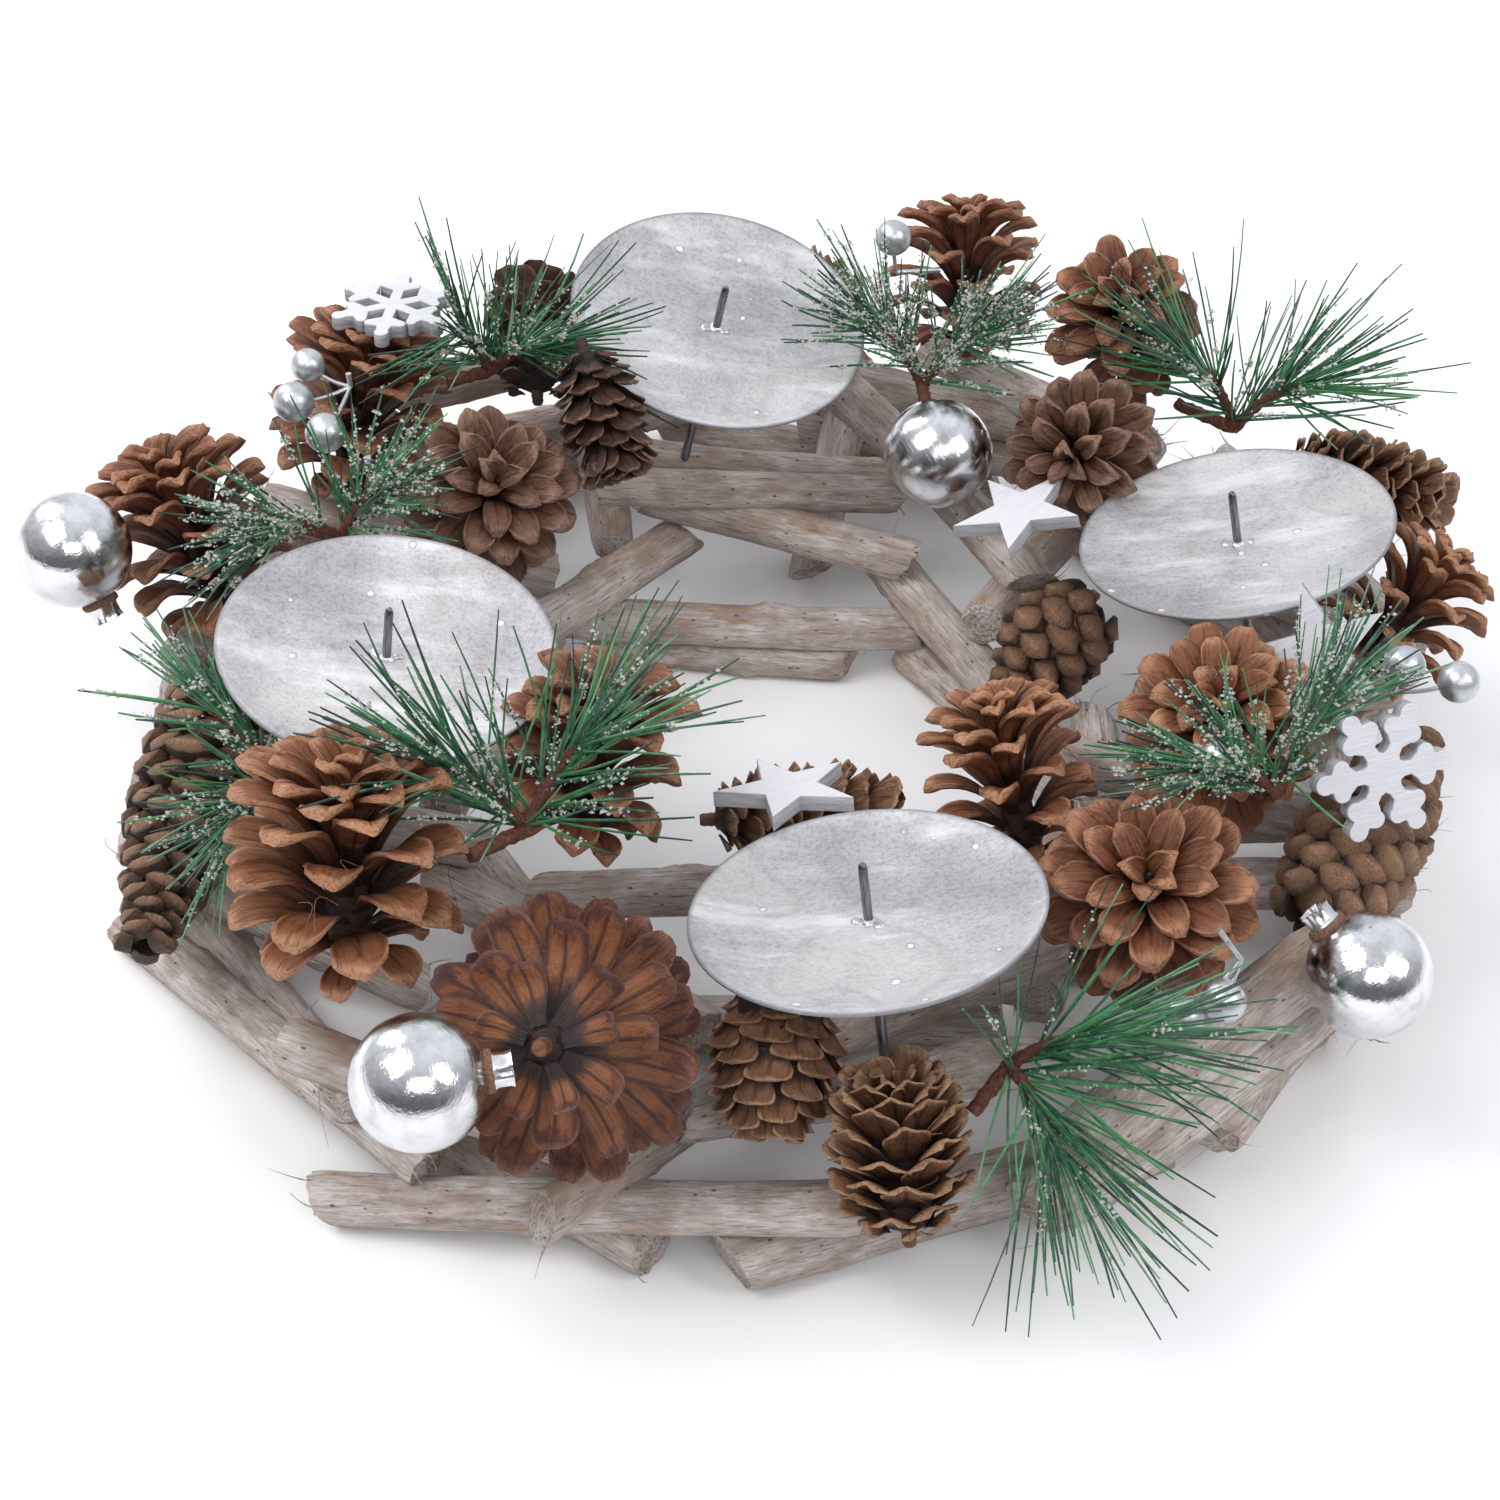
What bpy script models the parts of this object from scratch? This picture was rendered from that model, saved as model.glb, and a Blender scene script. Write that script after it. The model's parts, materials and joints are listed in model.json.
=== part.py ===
"""Wooden advent wreath: a ring of whitewashed sticks that carries four candle plates, cones, baubles,
berries, wooden snowflakes and stars, and eight snowy pine sprigs. Front is -Y, up is +Z, metres."""

import math
import random

import bmesh
import bpy
from mathutils import Matrix, Quaternion, Vector
from mathutils.bvhtree import BVHTree

MM = 0.001

# Plan positions are taken from the ring's centre. SHIFT puts the middle of the whole outline over the origin.
SHIFT = Vector((13.4, -2.0, 0)) * MM

# Clear distance between a piece and what it rests on.
REST_GAP = 0.3 * MM

# The hole through the ring that stays free of sticks, cones and needles: x and y limits.
HOLE_X = (-33 * MM, 24 * MM)
HOLE_Y = (-22 * MM, 36 * MM)

# Sticks: sides and rings of each bar, how far two sticks of one bundle sink into each other, the depth of the
# flat on a stick that lies on the ground, and the steepest rise from end to end.
STICK_SIDES = 7
STICK_RINGS = 3
STICK_SINK = 3.6 * MM
GROUND_FLAT = 0.7 * MM
ON_GROUND = 1.02
STICK_BOW = 0.02
GIRTH_RANGE = (0.95, 1.0)
CUT_SLANT = 0.35
MOST_RISE = 27 * MM
MOST_DROP = 2.5 * MM

# Each stick: bundle, plan of its two ends (mm), radius (mm). They are laid in this order.
STICKS = (
    ("front", -12, -149, 84, -106, 8.5),
    ("front_left", -100, -106, -30, -146, 7.0),
    ("right_front", 98, -110, 138, -44, 8.0),
    ("right", 146, -30, 144, 62, 7.5),
    ("right", 136, 76, 66, 136, 7.5),
    ("back", 52, 146, -50, 160, 7.0),
    ("back_left", -66, 154, -142, 96, 7.5),
    ("left", -158, 82, -160, -34, 7.5),
    ("front_left", -152, -50, -110, -100, 7.0),
    ("inner_back", -60, 64, 10, 62, 6.2),
    ("inner_back", 26, 68, 66, 16, 6.5),
    ("inner_right", 70, 4, 60, -62, 7.0),
    ("inner_front", 48, -70, -32, -78, 7.0),
    ("inner_front", -46, -78, -84, -24, 7.0),
    ("left", -86, -12, -72, 52, 7.0),
    ("front_left", -106, -138, 14, -145, 6.6),
    ("front_left", -166, -58, -82, -137, 6.4),
    ("right_front", 56, -135, 121, -82, 9.0),
    ("right_front", 134, -72, 152, 14, 7.0),
    ("right", 150, 36, 108, 116, 7.0),
    ("back", 92, 132, -6, 158, 7.0),
    ("back_left", -28, 162, -118, 128, 7.0),
    ("left", -130, 118, -168, 34, 7.0),
    ("left", -166, 22, -158, -60, 7.0),
    ("inner_back", -66, 60, 28, 66, 6.2),
    ("inner_back", 15, 84, 62, 22, 6.6),
    ("inner_right", 74, 24, 74, -50, 6.5),
    ("inner_front", 62, -58, -10, -92, 6.5),
    ("inner_front", -22, -90, -92, -44, 6.8),
    ("left", -92, -30, -76, 46, 6.6),
    ("left", -84, 30, -38, 84, 6.6),
    ("front_left", -54, -154, 2, -92, 6.2),
    ("right_front", 66, -128, 118, -82, 8.5),
    ("right_front", 148, -36, 62, -40, 7.0),
    ("right", 156, 42, 84, 24, 7.0),
    ("right", 92, 132, 44, 49, 6.6),
    ("back", 8, 166, -2, 98, 6.6),
    ("back_left", -74, 158, -58, 94, 6.6),
    ("left", -156, 84, -72, 58, 6.6),
    ("left", -168, -24, -80, -42, 6.8),
    ("left", -166, -52, -92, -72, 6.6),
    ("front_left", -104, -126, -52, -74, 6.6),
    ("front_left", -115, -119, -48, -135, 6.6),
    ("front_left", -24, -127, 66, -110, 6.4),
    ("inner_back", -48, 84, 24, 72, 6.4),
    ("right", 58, 94, 140, 72, 6.6),
    ("back", 22, 124, -70, 112, 6.4),
    ("left", -84, 106, -146, 122, 6.6),
    ("inner_back", -62, 72, 21, 92, 5.6),
    ("right", 2, 116, 57, 58, 6.6),
    ("back", 66, 142, -42, 160, 7.0),
    ("back", -34, 163, -124, 118, 6.6),
    ("right", 160, 58, 112, 132, 6.8),
    ("right_front", 154, -12, 72, -20, 6.6),
    ("inner_front", -64, -54, 66, -48, 6.4),
    ("back", 30, 172, 88, 112, 6.6),
    ("right_front", 62, -8, 150, -30, 6.6),
)

# Cones: name, kind, centre (mm), bearing and climb of the apex (degrees), length and width (mm).
CONES = (
    ("open_cone_left", "open", (-165, 40, 62), 150, 62, 54, 50),
    ("open_cone_back_left", "open", (-126, 90, 70), 60, 70, 54, 52),
    ("closed_cone_back_left", "spruce", (-85, 127, 66), 100, 30, 42, 30),
    ("open_cone_inner_left", "open", (-87, 48, 72), 290, 52, 50, 45),
    ("spruce_cone_back_left", "spruce", (-58, 58, 76), 300, -45, 42, 26),
    ("closed_cone_left", "closed", (-149, -60, 62), 266, -6, 100, 32),
    ("open_cone_left_front", "open", (-102, -102, 76), 100, 72, 54, 55),
    ("open_cone_front", "open", (-52, -137, 74), 80, -42, 46, 58),
    ("open_cone_inner_front", "open", (-50, -58, 68), 60, 75, 48, 46),
    ("spruce_cone_inner_front", "spruce", (0, -41, 60), 6, 4, 54, 27),
    ("closed_cone_front", "closed", (-5, -132, 54), 268, -38, 42, 32),
    ("spruce_cone_front", "spruce", (23, -145, 44), 110, 60, 44, 34),
    ("open_cone_inner_right", "open", (46, -42, 70), 130, 60, 46, 41),
    ("closed_cone_inner_right", "closed", (61, 35, 44), 215, -45, 40, 31),
    ("open_cone_right", "open", (95, -25, 72), 240, 70, 46, 48),
    ("open_cone_right_front", "open", (78, -83, 72), 260, 66, 46, 52),
    ("closed_cone_right", "closed", (134, -42, 56), 62, 8, 76, 36),
    ("open_cone_far_right", "open", (150, 32, 66), 30, 50, 44, 41),
    ("spruce_cone_right", "spruce", (152, 100, 64), 330, 10, 56, 30),
    ("open_cone_back_right", "open", (80, 124, 76), 240, 60, 42, 44),
    ("open_cone_behind_bauble", "open", (66, 78, 68), 250, 20, 38, 38),
    ("open_cone_back", "open", (37, 163, 74), 100, 60, 46, 46),
    ("spruce_cone_back", "spruce", (-8, 165, 68), 170, 10, 42, 30),
)

# How a kind of cone is built: rows of scales, scales in a row, core as a share of the width, reach of the
# notch between two scales, climb of the first and last rows (degrees), and width at the foot and the crown.
CONE_KINDS = {
    "open": dict(rows=5, around=7, core=0.36, notch=0.62, lean=(-12, 58), foot=0.62, crown=0.62),
    "closed": dict(rows=6, around=7, core=0.80, notch=0.86, lean=(20, 60), foot=0.62, crown=0.50),
    "spruce": dict(rows=5, around=6, core=0.55, notch=0.70, lean=(15, 66), foot=0.50, crown=0.45),
}

# Shares of a cone's length: the lowest row of roots and the run of rows above it. The widest part lies below
# the middle. Scales differ a little in reach and in bearing.
ROOTS_START = -0.44
ROOTS_RUN = 0.80
BULGE_START = 0.10
BULGE_RUN = 0.84
BULGE_POWER = 0.85
SCALE_REACH = (0.96, 1.08)
SCALE_WOBBLE = 0.12

# Candle plates: name, rim centre (mm), tilt (degrees) and the bearing to which the plate leans (degrees).
PLATES = (
    ("candle_plate_front", (12.5, -106.5, 81.2), 15.5, 131),
    ("candle_plate_right", (103.6, 35.0, 81.5), 16.0, 153),
    ("candle_plate_back", (-32.0, 102.0, 88.8), 12.3, -50),
    ("candle_plate_left", (-102.0, -39.5, 88.6), 4.3, -8),
)
PLATE_RADIUS = 40 * MM
PLATE_DEPTH = 4 * MM
SHEET = 0.9 * MM
PLATE_SIDES = 22

# The dish from its rim to its middle: shares of the radius and of the depth, on the upper face.
DISH_CURVE = ((1.0, 0.0), (0.86, 0.70), (0.52, 0.97), (0.0, 1.0))
SPIKE_HEIGHT = 15.6 * MM
ROD_RADIUS = 1.25 * MM
ROD_DRIVEN = 8 * MM
ROD_SIDES = 6

# Baubles: name, centre (mm), direction of the cap, way in which it is pushed home.
BAUBLES = (
    ("bauble_left", (-190, 12, 68), (0.45, -0.35, -0.8), (190, -10, -30)),
    ("bauble_front", (-79, -156, 72), (0.95, 0.2, 0.1), (0, 73, -68)),
    ("bauble_right", (128, -89, 53), (-0.7, 0.45, 0.55), (0, 73, -68)),
    ("bauble_back", (29, 76, 80), (0.2, 0.85, -0.5), (0, 0, -1)),
)
BAUBLE_RADIUS = 15 * MM
BAUBLE_SIDES = 12
BAUBLE_RINGS = 7
CAP_RADIUS = 4.2 * MM
CAP_HEIGHT = 6 * MM

# Berry sprays: name, fork of the wires, then the centre and radius of each berry (mm).
BERRIES = (
    ("berries_left", (-126, 66, 84), (
        (-139, 55, 86, 5.3), (-137, 67, 89, 4.5), (-129, 43, 86, 5.2))),
    ("berry_back", (16, 142, 80), ((14, 138, 94, 5.0),)),
    ("berry_middle", (102, -56, 76), ((93, -55, 85, 4.6),)),
    ("berries_front", (96, -108, 74), ((84, -116, 63, 5.2), (93, -113, 66, 5.2))),
    ("berries_right", (136, -28, 86), ((137, -28, 94, 5.0), (150, -30, 92, 5.0))),
)
WIRE_RADIUS = 0.7 * MM
WIRE_SIDES = 3

# Painted wood: name, centre (mm), tilt of the face away from level, bearing to which it leans and spin in its
# own plane (degrees).
SNOWFLAKES = (
    ("snowflake_back_left", (-119, 98, 99), 6, 120, 26),
    ("snowflake_right", (130, -56, 78), 62, 290, 22),
)
STARS = (
    ("star_front", (-6, -58, 84), 20, 110, 45),
    ("star_back", (50, 50, 76), 18, 170, 45),
    ("star_right", (121, -11, 80), 60, 250, 30),
)
PLY = 4 * MM
FLAKE_RADIUS = 17.5 * MM
STAR_RADIUS = 17.5 * MM
STAR_WAIST = 0.40

# One arm of a snowflake: bearing from the arm's middle (degrees) and reach as a share of the radius.
FLAKE_ARM = (
    (-30, 0.30), (-23, 0.70), (-19, 0.90), (-11, 0.86), (-7, 0.97),
    (7, 0.97), (11, 0.86), (19, 0.90), (23, 0.70))

# Pine sprigs: name, fork of the two twigs, their tips (mm), longest needle (mm), needles wanted on each twig.
SPRIGS = (
    ("sprig_back_left", (-92, 88, 76), ((-101, 84, 91), (-75, 84, 88)), 42, 36),
    ("sprig_left", (-124, 28, 64), ((-140, 14, 78), (-112, 24, 84)), 34, 36),
    ("sprig_left_front", (-122, -66, 66), ((-141, -57, 80), (-134, -80, 66)), 30, 40),
    ("sprig_inner_front", (-64, -93, 84), ((-80, -93, 101), (-52, -82, 104)), 44, 42),
    ("sprig_back", (24, 98, 74), ((10, 98, 92), (38, 100, 90)), 34, 42),
    ("sprig_right", (110, 99, 66), ((98, 101, 84), (124, 96, 84)), 44, 42),
    ("sprig_right_front", (107, -58, 78), ((90, -62, 89), (116, -47, 98)), 36, 36),
    ("sprig_front", (46, -128, 56), ((64, -128, 68), (56, -146, 52)), 48, 42),
)
TWIG_RADIUS = 1.7 * MM
TWIG_TAPER = 0.45
TWIG_SIDES = 5
TWIG_ARCH = 3 * MM
TWIG_ROOM = 1.0 * MM
BARE_FORK = 5 * MM
ROOT_SHARE = 0.015
RING_SPACING = 2.7 * MM

# Needles: angle between needle and twig (degrees), length as a share of the full one, room that a needle
# keeps from other pieces, lowest height, and how often a blocked needle is bent another way.
NEEDLE_OPENING = (24, 68)
NEEDLE_LENGTHS = (0.72, 1.0)
NEEDLE_ROOM = 1.1 * MM
NEEDLE_FLOOR = 2 * MM
NEEDLE_TRIES = 10
NEEDLE_PROBES = 12
LEAST_OUTWARD = 0.2

WOOD = ("whitewashed_wood", (0.50, 0.43, 0.385), 0.85, 0.0)
CONE_BROWN = ("cone_scales", (0.20, 0.085, 0.045), 0.75, 0.0)
CONE_DARK = ("spruce_scales", (0.11, 0.055, 0.035), 0.75, 0.0)
ZINC = ("zinc_sheet", (0.52, 0.52, 0.58), 0.5, 0.85)
MIRROR = ("mirror_silver", (0.86, 0.87, 0.89), 0.08, 1.0)
PEARL = ("pearl_silver", (0.66, 0.67, 0.70), 0.3, 0.6)
WHITE_PAINT = ("white_paint", (0.85, 0.85, 0.88), 0.6, 0.0)
NEEDLE_GREEN = ("needle_green", (0.03, 0.15, 0.07), 0.55, 0.0)

DOWN = Vector((0, 0, -1))
UP = Vector((0, 0, 1))
ROOT_NAME = "wreath"


# Scene, materials and objects

def clear_scene():
    for obj in list(bpy.data.objects):
        bpy.data.objects.remove(obj, do_unlink=True)


def material(spec):
    name, colour, roughness, metallic = spec
    found = bpy.data.materials.get(name)
    if found:
        return found
    made = bpy.data.materials.new(name)
    made.use_nodes = True
    shader = made.node_tree.nodes["Principled BSDF"]
    shader.inputs["Base Color"].default_value = (*colour, 1)
    shader.inputs["Roughness"].default_value = roughness
    shader.inputs["Metallic"].default_value = metallic
    made.diffuse_color = (*colour, 1)
    return made


def add_object(name, points, faces, spec, place=Matrix.Identity(4), smooth=False):
    mesh = bpy.data.meshes.new(name)
    mesh.from_pydata([tuple(point) for point in points], [], faces)
    mesh.materials.append(material(spec))
    if smooth:
        mesh.shade_smooth()
        mesh.set_sharp_from_angle(angle=math.radians(40))
    obj = bpy.data.objects.new(name, mesh)
    bpy.context.scene.collection.objects.link(obj)
    obj.parent = bpy.data.objects[ROOT_NAME]
    obj.matrix_basis = place
    return obj


def heading(bearing, climb):
    flat = math.radians(bearing)
    rise = math.radians(climb)
    return Vector((math.cos(flat) * math.cos(rise), math.sin(flat) * math.cos(rise), math.sin(rise)))


def turned_to(direction, spin=0.0):
    """The turn that takes +Z to the direction, after a spin about +Z."""
    return UP.rotation_difference(Vector(direction).normalized()) @ Quaternion(UP, spin)


def place_at(centre, turn):
    return Matrix.Translation(Vector(centre)) @ turn.to_matrix().to_4x4()


# Joining and resting

class Crowd:
    """The pieces placed so far, each as a tree of its faces, to rest the next piece on."""

    def __init__(self):
        self.trees = {}

    @staticmethod
    def faces_of(obj):
        mesh = obj.data
        mesh.calc_loop_triangles()
        points = [obj.matrix_basis @ vertex.co for vertex in mesh.vertices]
        return points, [tuple(triangle.vertices) for triangle in mesh.loop_triangles]

    def add(self, obj):
        self.trees[obj.name] = BVHTree.FromPolygons(*self.faces_of(obj), all_triangles=True)

    def remove(self, obj):
        del self.trees[obj.name]

    def touches(self, points, faces, shift=Vector()):
        moved = [point + shift for point in points]
        tree = BVHTree.FromPolygons(moved, faces, all_triangles=True)
        return any(tree.overlap(other) for other in self.trees.values())

    def nearest(self, point, reach):
        """Distance to the closest piece, or the reach where none is closer."""
        found = reach
        for tree in self.trees.values():
            distance = tree.find_nearest(point, found)[3]
            if distance is not None:
                found = min(found, distance)
        return found

    def nearest_point(self, point):
        """The closest spot on any piece."""
        found = [tree.find_nearest(point) for tree in self.trees.values()]
        return min(found, key=lambda hit: hit[3])[0]

    def first_hit(self, start, direction):
        """Name of the first piece on a ray and the distance to it."""
        hits = []
        for name, tree in self.trees.items():
            distance = tree.ray_cast(start, direction)[3]
            if distance is not None:
                hits.append((distance, name))
        return min(hits) if hits else (None, None)


def settle(obj, crowd, way=DOWN, step=1 * MM, most=60):
    """Back the piece off until it is free, then slide it along the way until it is REST_GAP from touching."""
    points, faces = crowd.faces_of(obj)
    way = Vector(way).normalized()
    travel = 0.0
    steps = 0
    while crowd.touches(points, faces, way * travel) and steps < most:
        travel -= step
        steps += 1
    free = travel
    steps = 0
    while not crowd.touches(points, faces, way * (travel + step)) and steps < most:
        travel += step
        free = travel
        steps += 1
    blocked = free + step
    for _ in range(7):
        middle = (free + blocked) / 2
        if crowd.touches(points, faces, way * middle):
            blocked = middle
        else:
            free = middle
    obj.matrix_basis = Matrix.Translation(way * (free - REST_GAP)) @ obj.matrix_basis
    crowd.add(obj)
    return obj


def apply_boolean(obj, operation, solver="EXACT", other=None, collection=None):
    modifier = obj.modifiers.new("join", "BOOLEAN")
    modifier.operation = operation
    modifier.solver = solver
    if collection:
        modifier.operand_type = "COLLECTION"
        modifier.collection = collection
    else:
        modifier.object = other
    graph = bpy.context.evaluated_depsgraph_get()
    joined = bpy.data.meshes.new_from_object(obj.evaluated_get(graph))
    obj.modifiers.remove(modifier)
    obj.data = joined


def drop_scraps(obj):
    """Keep the largest body of the mesh. A union can leave a crumb inside it where blades cross."""
    mesh = bmesh.new()
    mesh.from_mesh(obj.data)
    waiting = set(mesh.verts)
    bodies = []
    while waiting:
        body = []
        edge_of_body = [waiting.pop()]
        while edge_of_body:
            vertex = edge_of_body.pop()
            body.append(vertex)
            for edge in vertex.link_edges:
                other = edge.other_vert(vertex)
                if other in waiting:
                    waiting.remove(other)
                    edge_of_body.append(other)
        bodies.append(body)
    bodies.sort(key=len)
    for body in bodies[:-1]:
        bmesh.ops.delete(mesh, geom=body, context="VERTS")
    mesh.to_mesh(obj.data)
    mesh.free()


def fuse(first, others):
    """Join the other objects into the first, as one closed body, and remove them."""
    if not others:
        return
    group = bpy.data.collections.new(first.name + "_joined")
    for obj in others:
        group.objects.link(obj)
    apply_boolean(first, "UNION", collection=group)
    bpy.data.collections.remove(group)
    for obj in others:
        bpy.data.objects.remove(obj, do_unlink=True)


def lathe(profile, sides):
    """Points and triangles of a turned shape. The profile runs from its lowest pole to its highest."""
    points = [Vector((0, 0, profile[0][1]))]
    for radius, height in profile[1:-1]:
        for side in range(sides):
            angle = 2 * math.pi * side / sides
            points.append(Vector((radius * math.cos(angle), radius * math.sin(angle), height)))
    points.append(Vector((0, 0, profile[-1][1])))
    return points, ring_faces(len(profile) - 2, sides)


def ring_faces(rings, sides):
    """Triangles of a stack of rings closed by a point at each end."""
    last = rings * sides + 1
    faces = []
    for side in range(sides):
        after = (side + 1) % sides
        faces.append((0, 1 + after, 1 + side))
        faces.append((last, last - sides + side, last - sides + after))
    for ring in range(rings - 1):
        low = 1 + ring * sides
        for side in range(sides):
            after = (side + 1) % sides
            faces.append((low + side, low + after, low + sides + after))
            faces.append((low + side, low + sides + after, low + sides + side))
    return faces


# Sticks of the ring

def axis_points(start, end, draw):
    """The stick's line in plan, bowed a little sideways."""
    along = end - start
    side = Vector((-along.y, along.x)).normalized()
    bow = draw.uniform(-STICK_BOW, STICK_BOW) * along.length
    points = []
    for ring in range(STICK_RINGS):
        share = ring / (STICK_RINGS - 1)
        points.append(start + along * share + side * bow * 4 * share * (1 - share))
    return points


def nearest_on(point, laid):
    """Plan distance from the point to a laid stick's axis, and the axis height there."""
    best = None
    for (a, b) in zip(laid["axis"], laid["axis"][1:]):
        run = (b - a).xy
        share = max(0.0, min(1.0, (point - a.xy).dot(run) / run.length_squared))
        near = a + (b - a) * share
        distance = (near.xy - point).length
        if best is None or distance < best[0]:
            best = (distance, near.z)
    return best


def resting_line(plan, radius, bundle, laid_sticks):
    """Heights of the two ends of a stick that comes to rest on the ground and on the sticks below it."""
    samples = 24
    needed = []
    count = len(plan) - 1
    for index in range(samples + 1):
        share = index / samples
        leg = min(int(share * count), count - 1)
        point = plan[leg].lerp(plan[leg + 1], share * count - leg)
        height = radius - GROUND_FLAT
        for laid in laid_sticks:
            apart = radius + laid["radius"] + (-STICK_SINK if laid["bundle"] == bundle else REST_GAP)
            distance, level = nearest_on(point, laid)
            if distance < apart:
                height = max(height, level + math.sqrt(apart**2 - distance**2))
        needed.append((share, height))
    level = max(height for _, height in needed)
    best = (level, level, level)
    for i, (share_a, height_a) in enumerate(needed):
        for share_b, height_b in needed[i + 1 :]:
            slope = (height_b - height_a) / (share_b - share_a)
            start = height_a - slope * share_a
            middle = start + slope / 2
            if abs(slope) > MOST_RISE or middle >= best[0]:
                continue
            if all(start + slope * share >= height - 1e-6 for share, height in needed):
                best = (middle, start, start + slope)
    return best[1], best[2]


def stick_mesh(axis, radius, draw):
    """A rough bar along the axis. Its first side faces down, and is flat where the stick is on the ground."""
    points = []
    run = (axis[-1] - axis[0]).normalized()
    side = run.cross(UP).normalized()
    top = side.cross(run)
    for index, centre in enumerate(axis):
        girth = radius * draw.uniform(*GIRTH_RANGE)
        slant = draw.uniform(-CUT_SLANT, CUT_SLANT) if index in (0, len(axis) - 1) else 0.0
        for step in range(STICK_SIDES):
            angle = math.pi / 2 + 2 * math.pi * (step - 0.5) / STICK_SIDES
            reach = girth * draw.uniform(*GIRTH_RANGE)
            offset = side * math.cos(angle) * reach - top * math.sin(angle) * reach
            point = centre + offset + run * math.cos(angle) * slant * reach
            if step < 2 and centre.z < ON_GROUND * radius:
                point.z = 0.0
            points.append(point)
    rings = len(axis)
    last = (rings - 1) * STICK_SIDES
    faces = [tuple(reversed(range(STICK_SIDES))), tuple(range(last, last + STICK_SIDES))]
    for ring in range(rings - 1):
        low = ring * STICK_SIDES
        for step in range(STICK_SIDES):
            after = (step + 1) % STICK_SIDES
            faces.append((low + step, low + after, low + STICK_SIDES + after, low + STICK_SIDES + step))
    return points, faces


def moved_down(points, drop, weights):
    return [point - UP * drop * weight for point, weight in zip(points, weights)]


def free_drop(points, faces, weights, others):
    """How far the stick comes down to rest on another bundle, or nothing where its own bundle carries it."""

    def hits(drop):
        tree = BVHTree.FromPolygons(moved_down(points, drop, weights), faces)
        return any(tree.overlap(other) for other in others)

    if hits(0) or not hits(MOST_DROP):
        return 0.0
    free = 0.0
    blocked = MOST_DROP
    for _ in range(7):
        middle = (free + blocked) / 2
        if hits(middle):
            blocked = middle
        else:
            free = middle
    return max(0.0, free - REST_GAP)


def lay_sticks(crowd):
    draw = random.Random(11)
    laid_sticks = []
    laid_trees = []
    bundles = {}
    for number, (bundle, x_a, y_a, x_b, y_b, radius) in enumerate(STICKS):
        radius *= MM
        plan = axis_points(Vector((x_a, y_a)) * MM, Vector((x_b, y_b)) * MM, draw)
        low, high = resting_line(plan, radius, bundle, laid_sticks)
        last = len(plan) - 1
        axis = [Vector((p.x, p.y, low + (high - low) * i / last)) for i, p in enumerate(plan)]
        points, faces = stick_mesh(axis, radius, draw)
        ends = [0.0 if end.z < ON_GROUND * radius else 1.0 for end in (axis[0], axis[-1])]
        rises = [ends[0] + (ends[1] - ends[0]) * i / last for i in range(len(plan))]
        weights = [rises[i // STICK_SIDES] for i in range(len(points))]
        others = [tree for other, tree in laid_trees if other != bundle]
        drop = free_drop(points, faces, weights, others)
        points = moved_down(points, drop, weights)
        axis = moved_down(axis, drop, rises)
        laid_sticks.append({"axis": axis, "radius": radius, "bundle": bundle})
        laid_trees.append((bundle, BVHTree.FromPolygons(points, faces)))
        obj = add_object(f"stick_{number}", points, faces, WOOD)
        bundles.setdefault(bundle, []).append(obj)
    for bundle, pieces in bundles.items():
        first = pieces[0]
        fuse(first, pieces[1:])
        first.name = "sticks_" + bundle
        crowd.add(first)


# Cones

def cone_mesh(kind, length, width, draw):
    """Staggered rows of scales raised from a core: a ring of roots, then a ring of tips and notches."""
    form = CONE_KINDS[kind]
    rows = form["rows"]
    columns = 2 * form["around"]
    half = width / 2
    points = [Vector((0, 0, -length / 2))]
    tips = []

    def envelope(share):
        bulge = math.sin(math.pi * (BULGE_START + BULGE_RUN * share**BULGE_POWER))
        edge = form["foot"] + (form["crown"] - form["foot"]) * share
        return half * (edge + (1 - edge) * bulge)

    def root_height(row):
        return length * (ROOTS_START + ROOTS_RUN * row / rows)

    for row in range(rows + 1):
        share = row / rows
        core = envelope(share) * form["core"]
        for column in range(columns):
            angle = 2 * math.pi * column / columns
            height = root_height(row - 0.2)
            points.append(Vector((core * math.cos(angle), core * math.sin(angle), height)))
        if row == rows:
            break
        reach = envelope((row + 0.5) / rows)
        flat, steep = form["lean"]
        lean = math.radians(flat + (steep - flat) * row / (rows - 1))
        for column in range(columns):
            tip = (column + row) % 2 == 0
            angle = 2 * math.pi * (column + draw.uniform(-SCALE_WOBBLE, SCALE_WOBBLE)) / columns
            out = reach * (draw.uniform(*SCALE_REACH) if tip else form["notch"])
            height = root_height(row + 0.3) + (out - core) * math.tan(lean)
            height = min(height, length / 2)
            if tip:
                tips.append(len(points))
            points.append(Vector((out * math.cos(angle), out * math.sin(angle), height)))
    points.append(Vector((0, 0, root_height(rows) + 0.04 * length)))
    rings = 2 * rows + 1
    faces = []
    last = rings * columns + 1
    tips = set(tips)
    for column in range(columns):
        after = (column + 1) % columns
        faces.append((0, 1 + after, 1 + column))
        faces.append((last, last - columns + column, last - columns + after))
    for ring in range(rings - 1):
        low = 1 + ring * columns
        for column in range(columns):
            after = (column + 1) % columns
            a, b, c, d = low + column, low + after, low + columns + after, low + columns + column
            if a in tips or c in tips:
                faces += [(a, b, c), (a, c, d)]
            else:
                faces += [(a, b, d), (b, c, d)]
    return points, faces


def add_cones(crowd):
    for number, (name, kind, centre, bearing, climb, length, width) in enumerate(CONES):
        draw = random.Random(100 + number)
        points, faces = cone_mesh(kind, length * MM, width * MM, draw)
        turn = turned_to(heading(bearing, climb), draw.uniform(0, math.pi))
        spec = CONE_DARK if kind == "spruce" else CONE_BROWN
        obj = add_object(name, points, faces, spec, place_at(Vector(centre) * MM, turn))
        settle(obj, crowd)


# Candle plates

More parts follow.
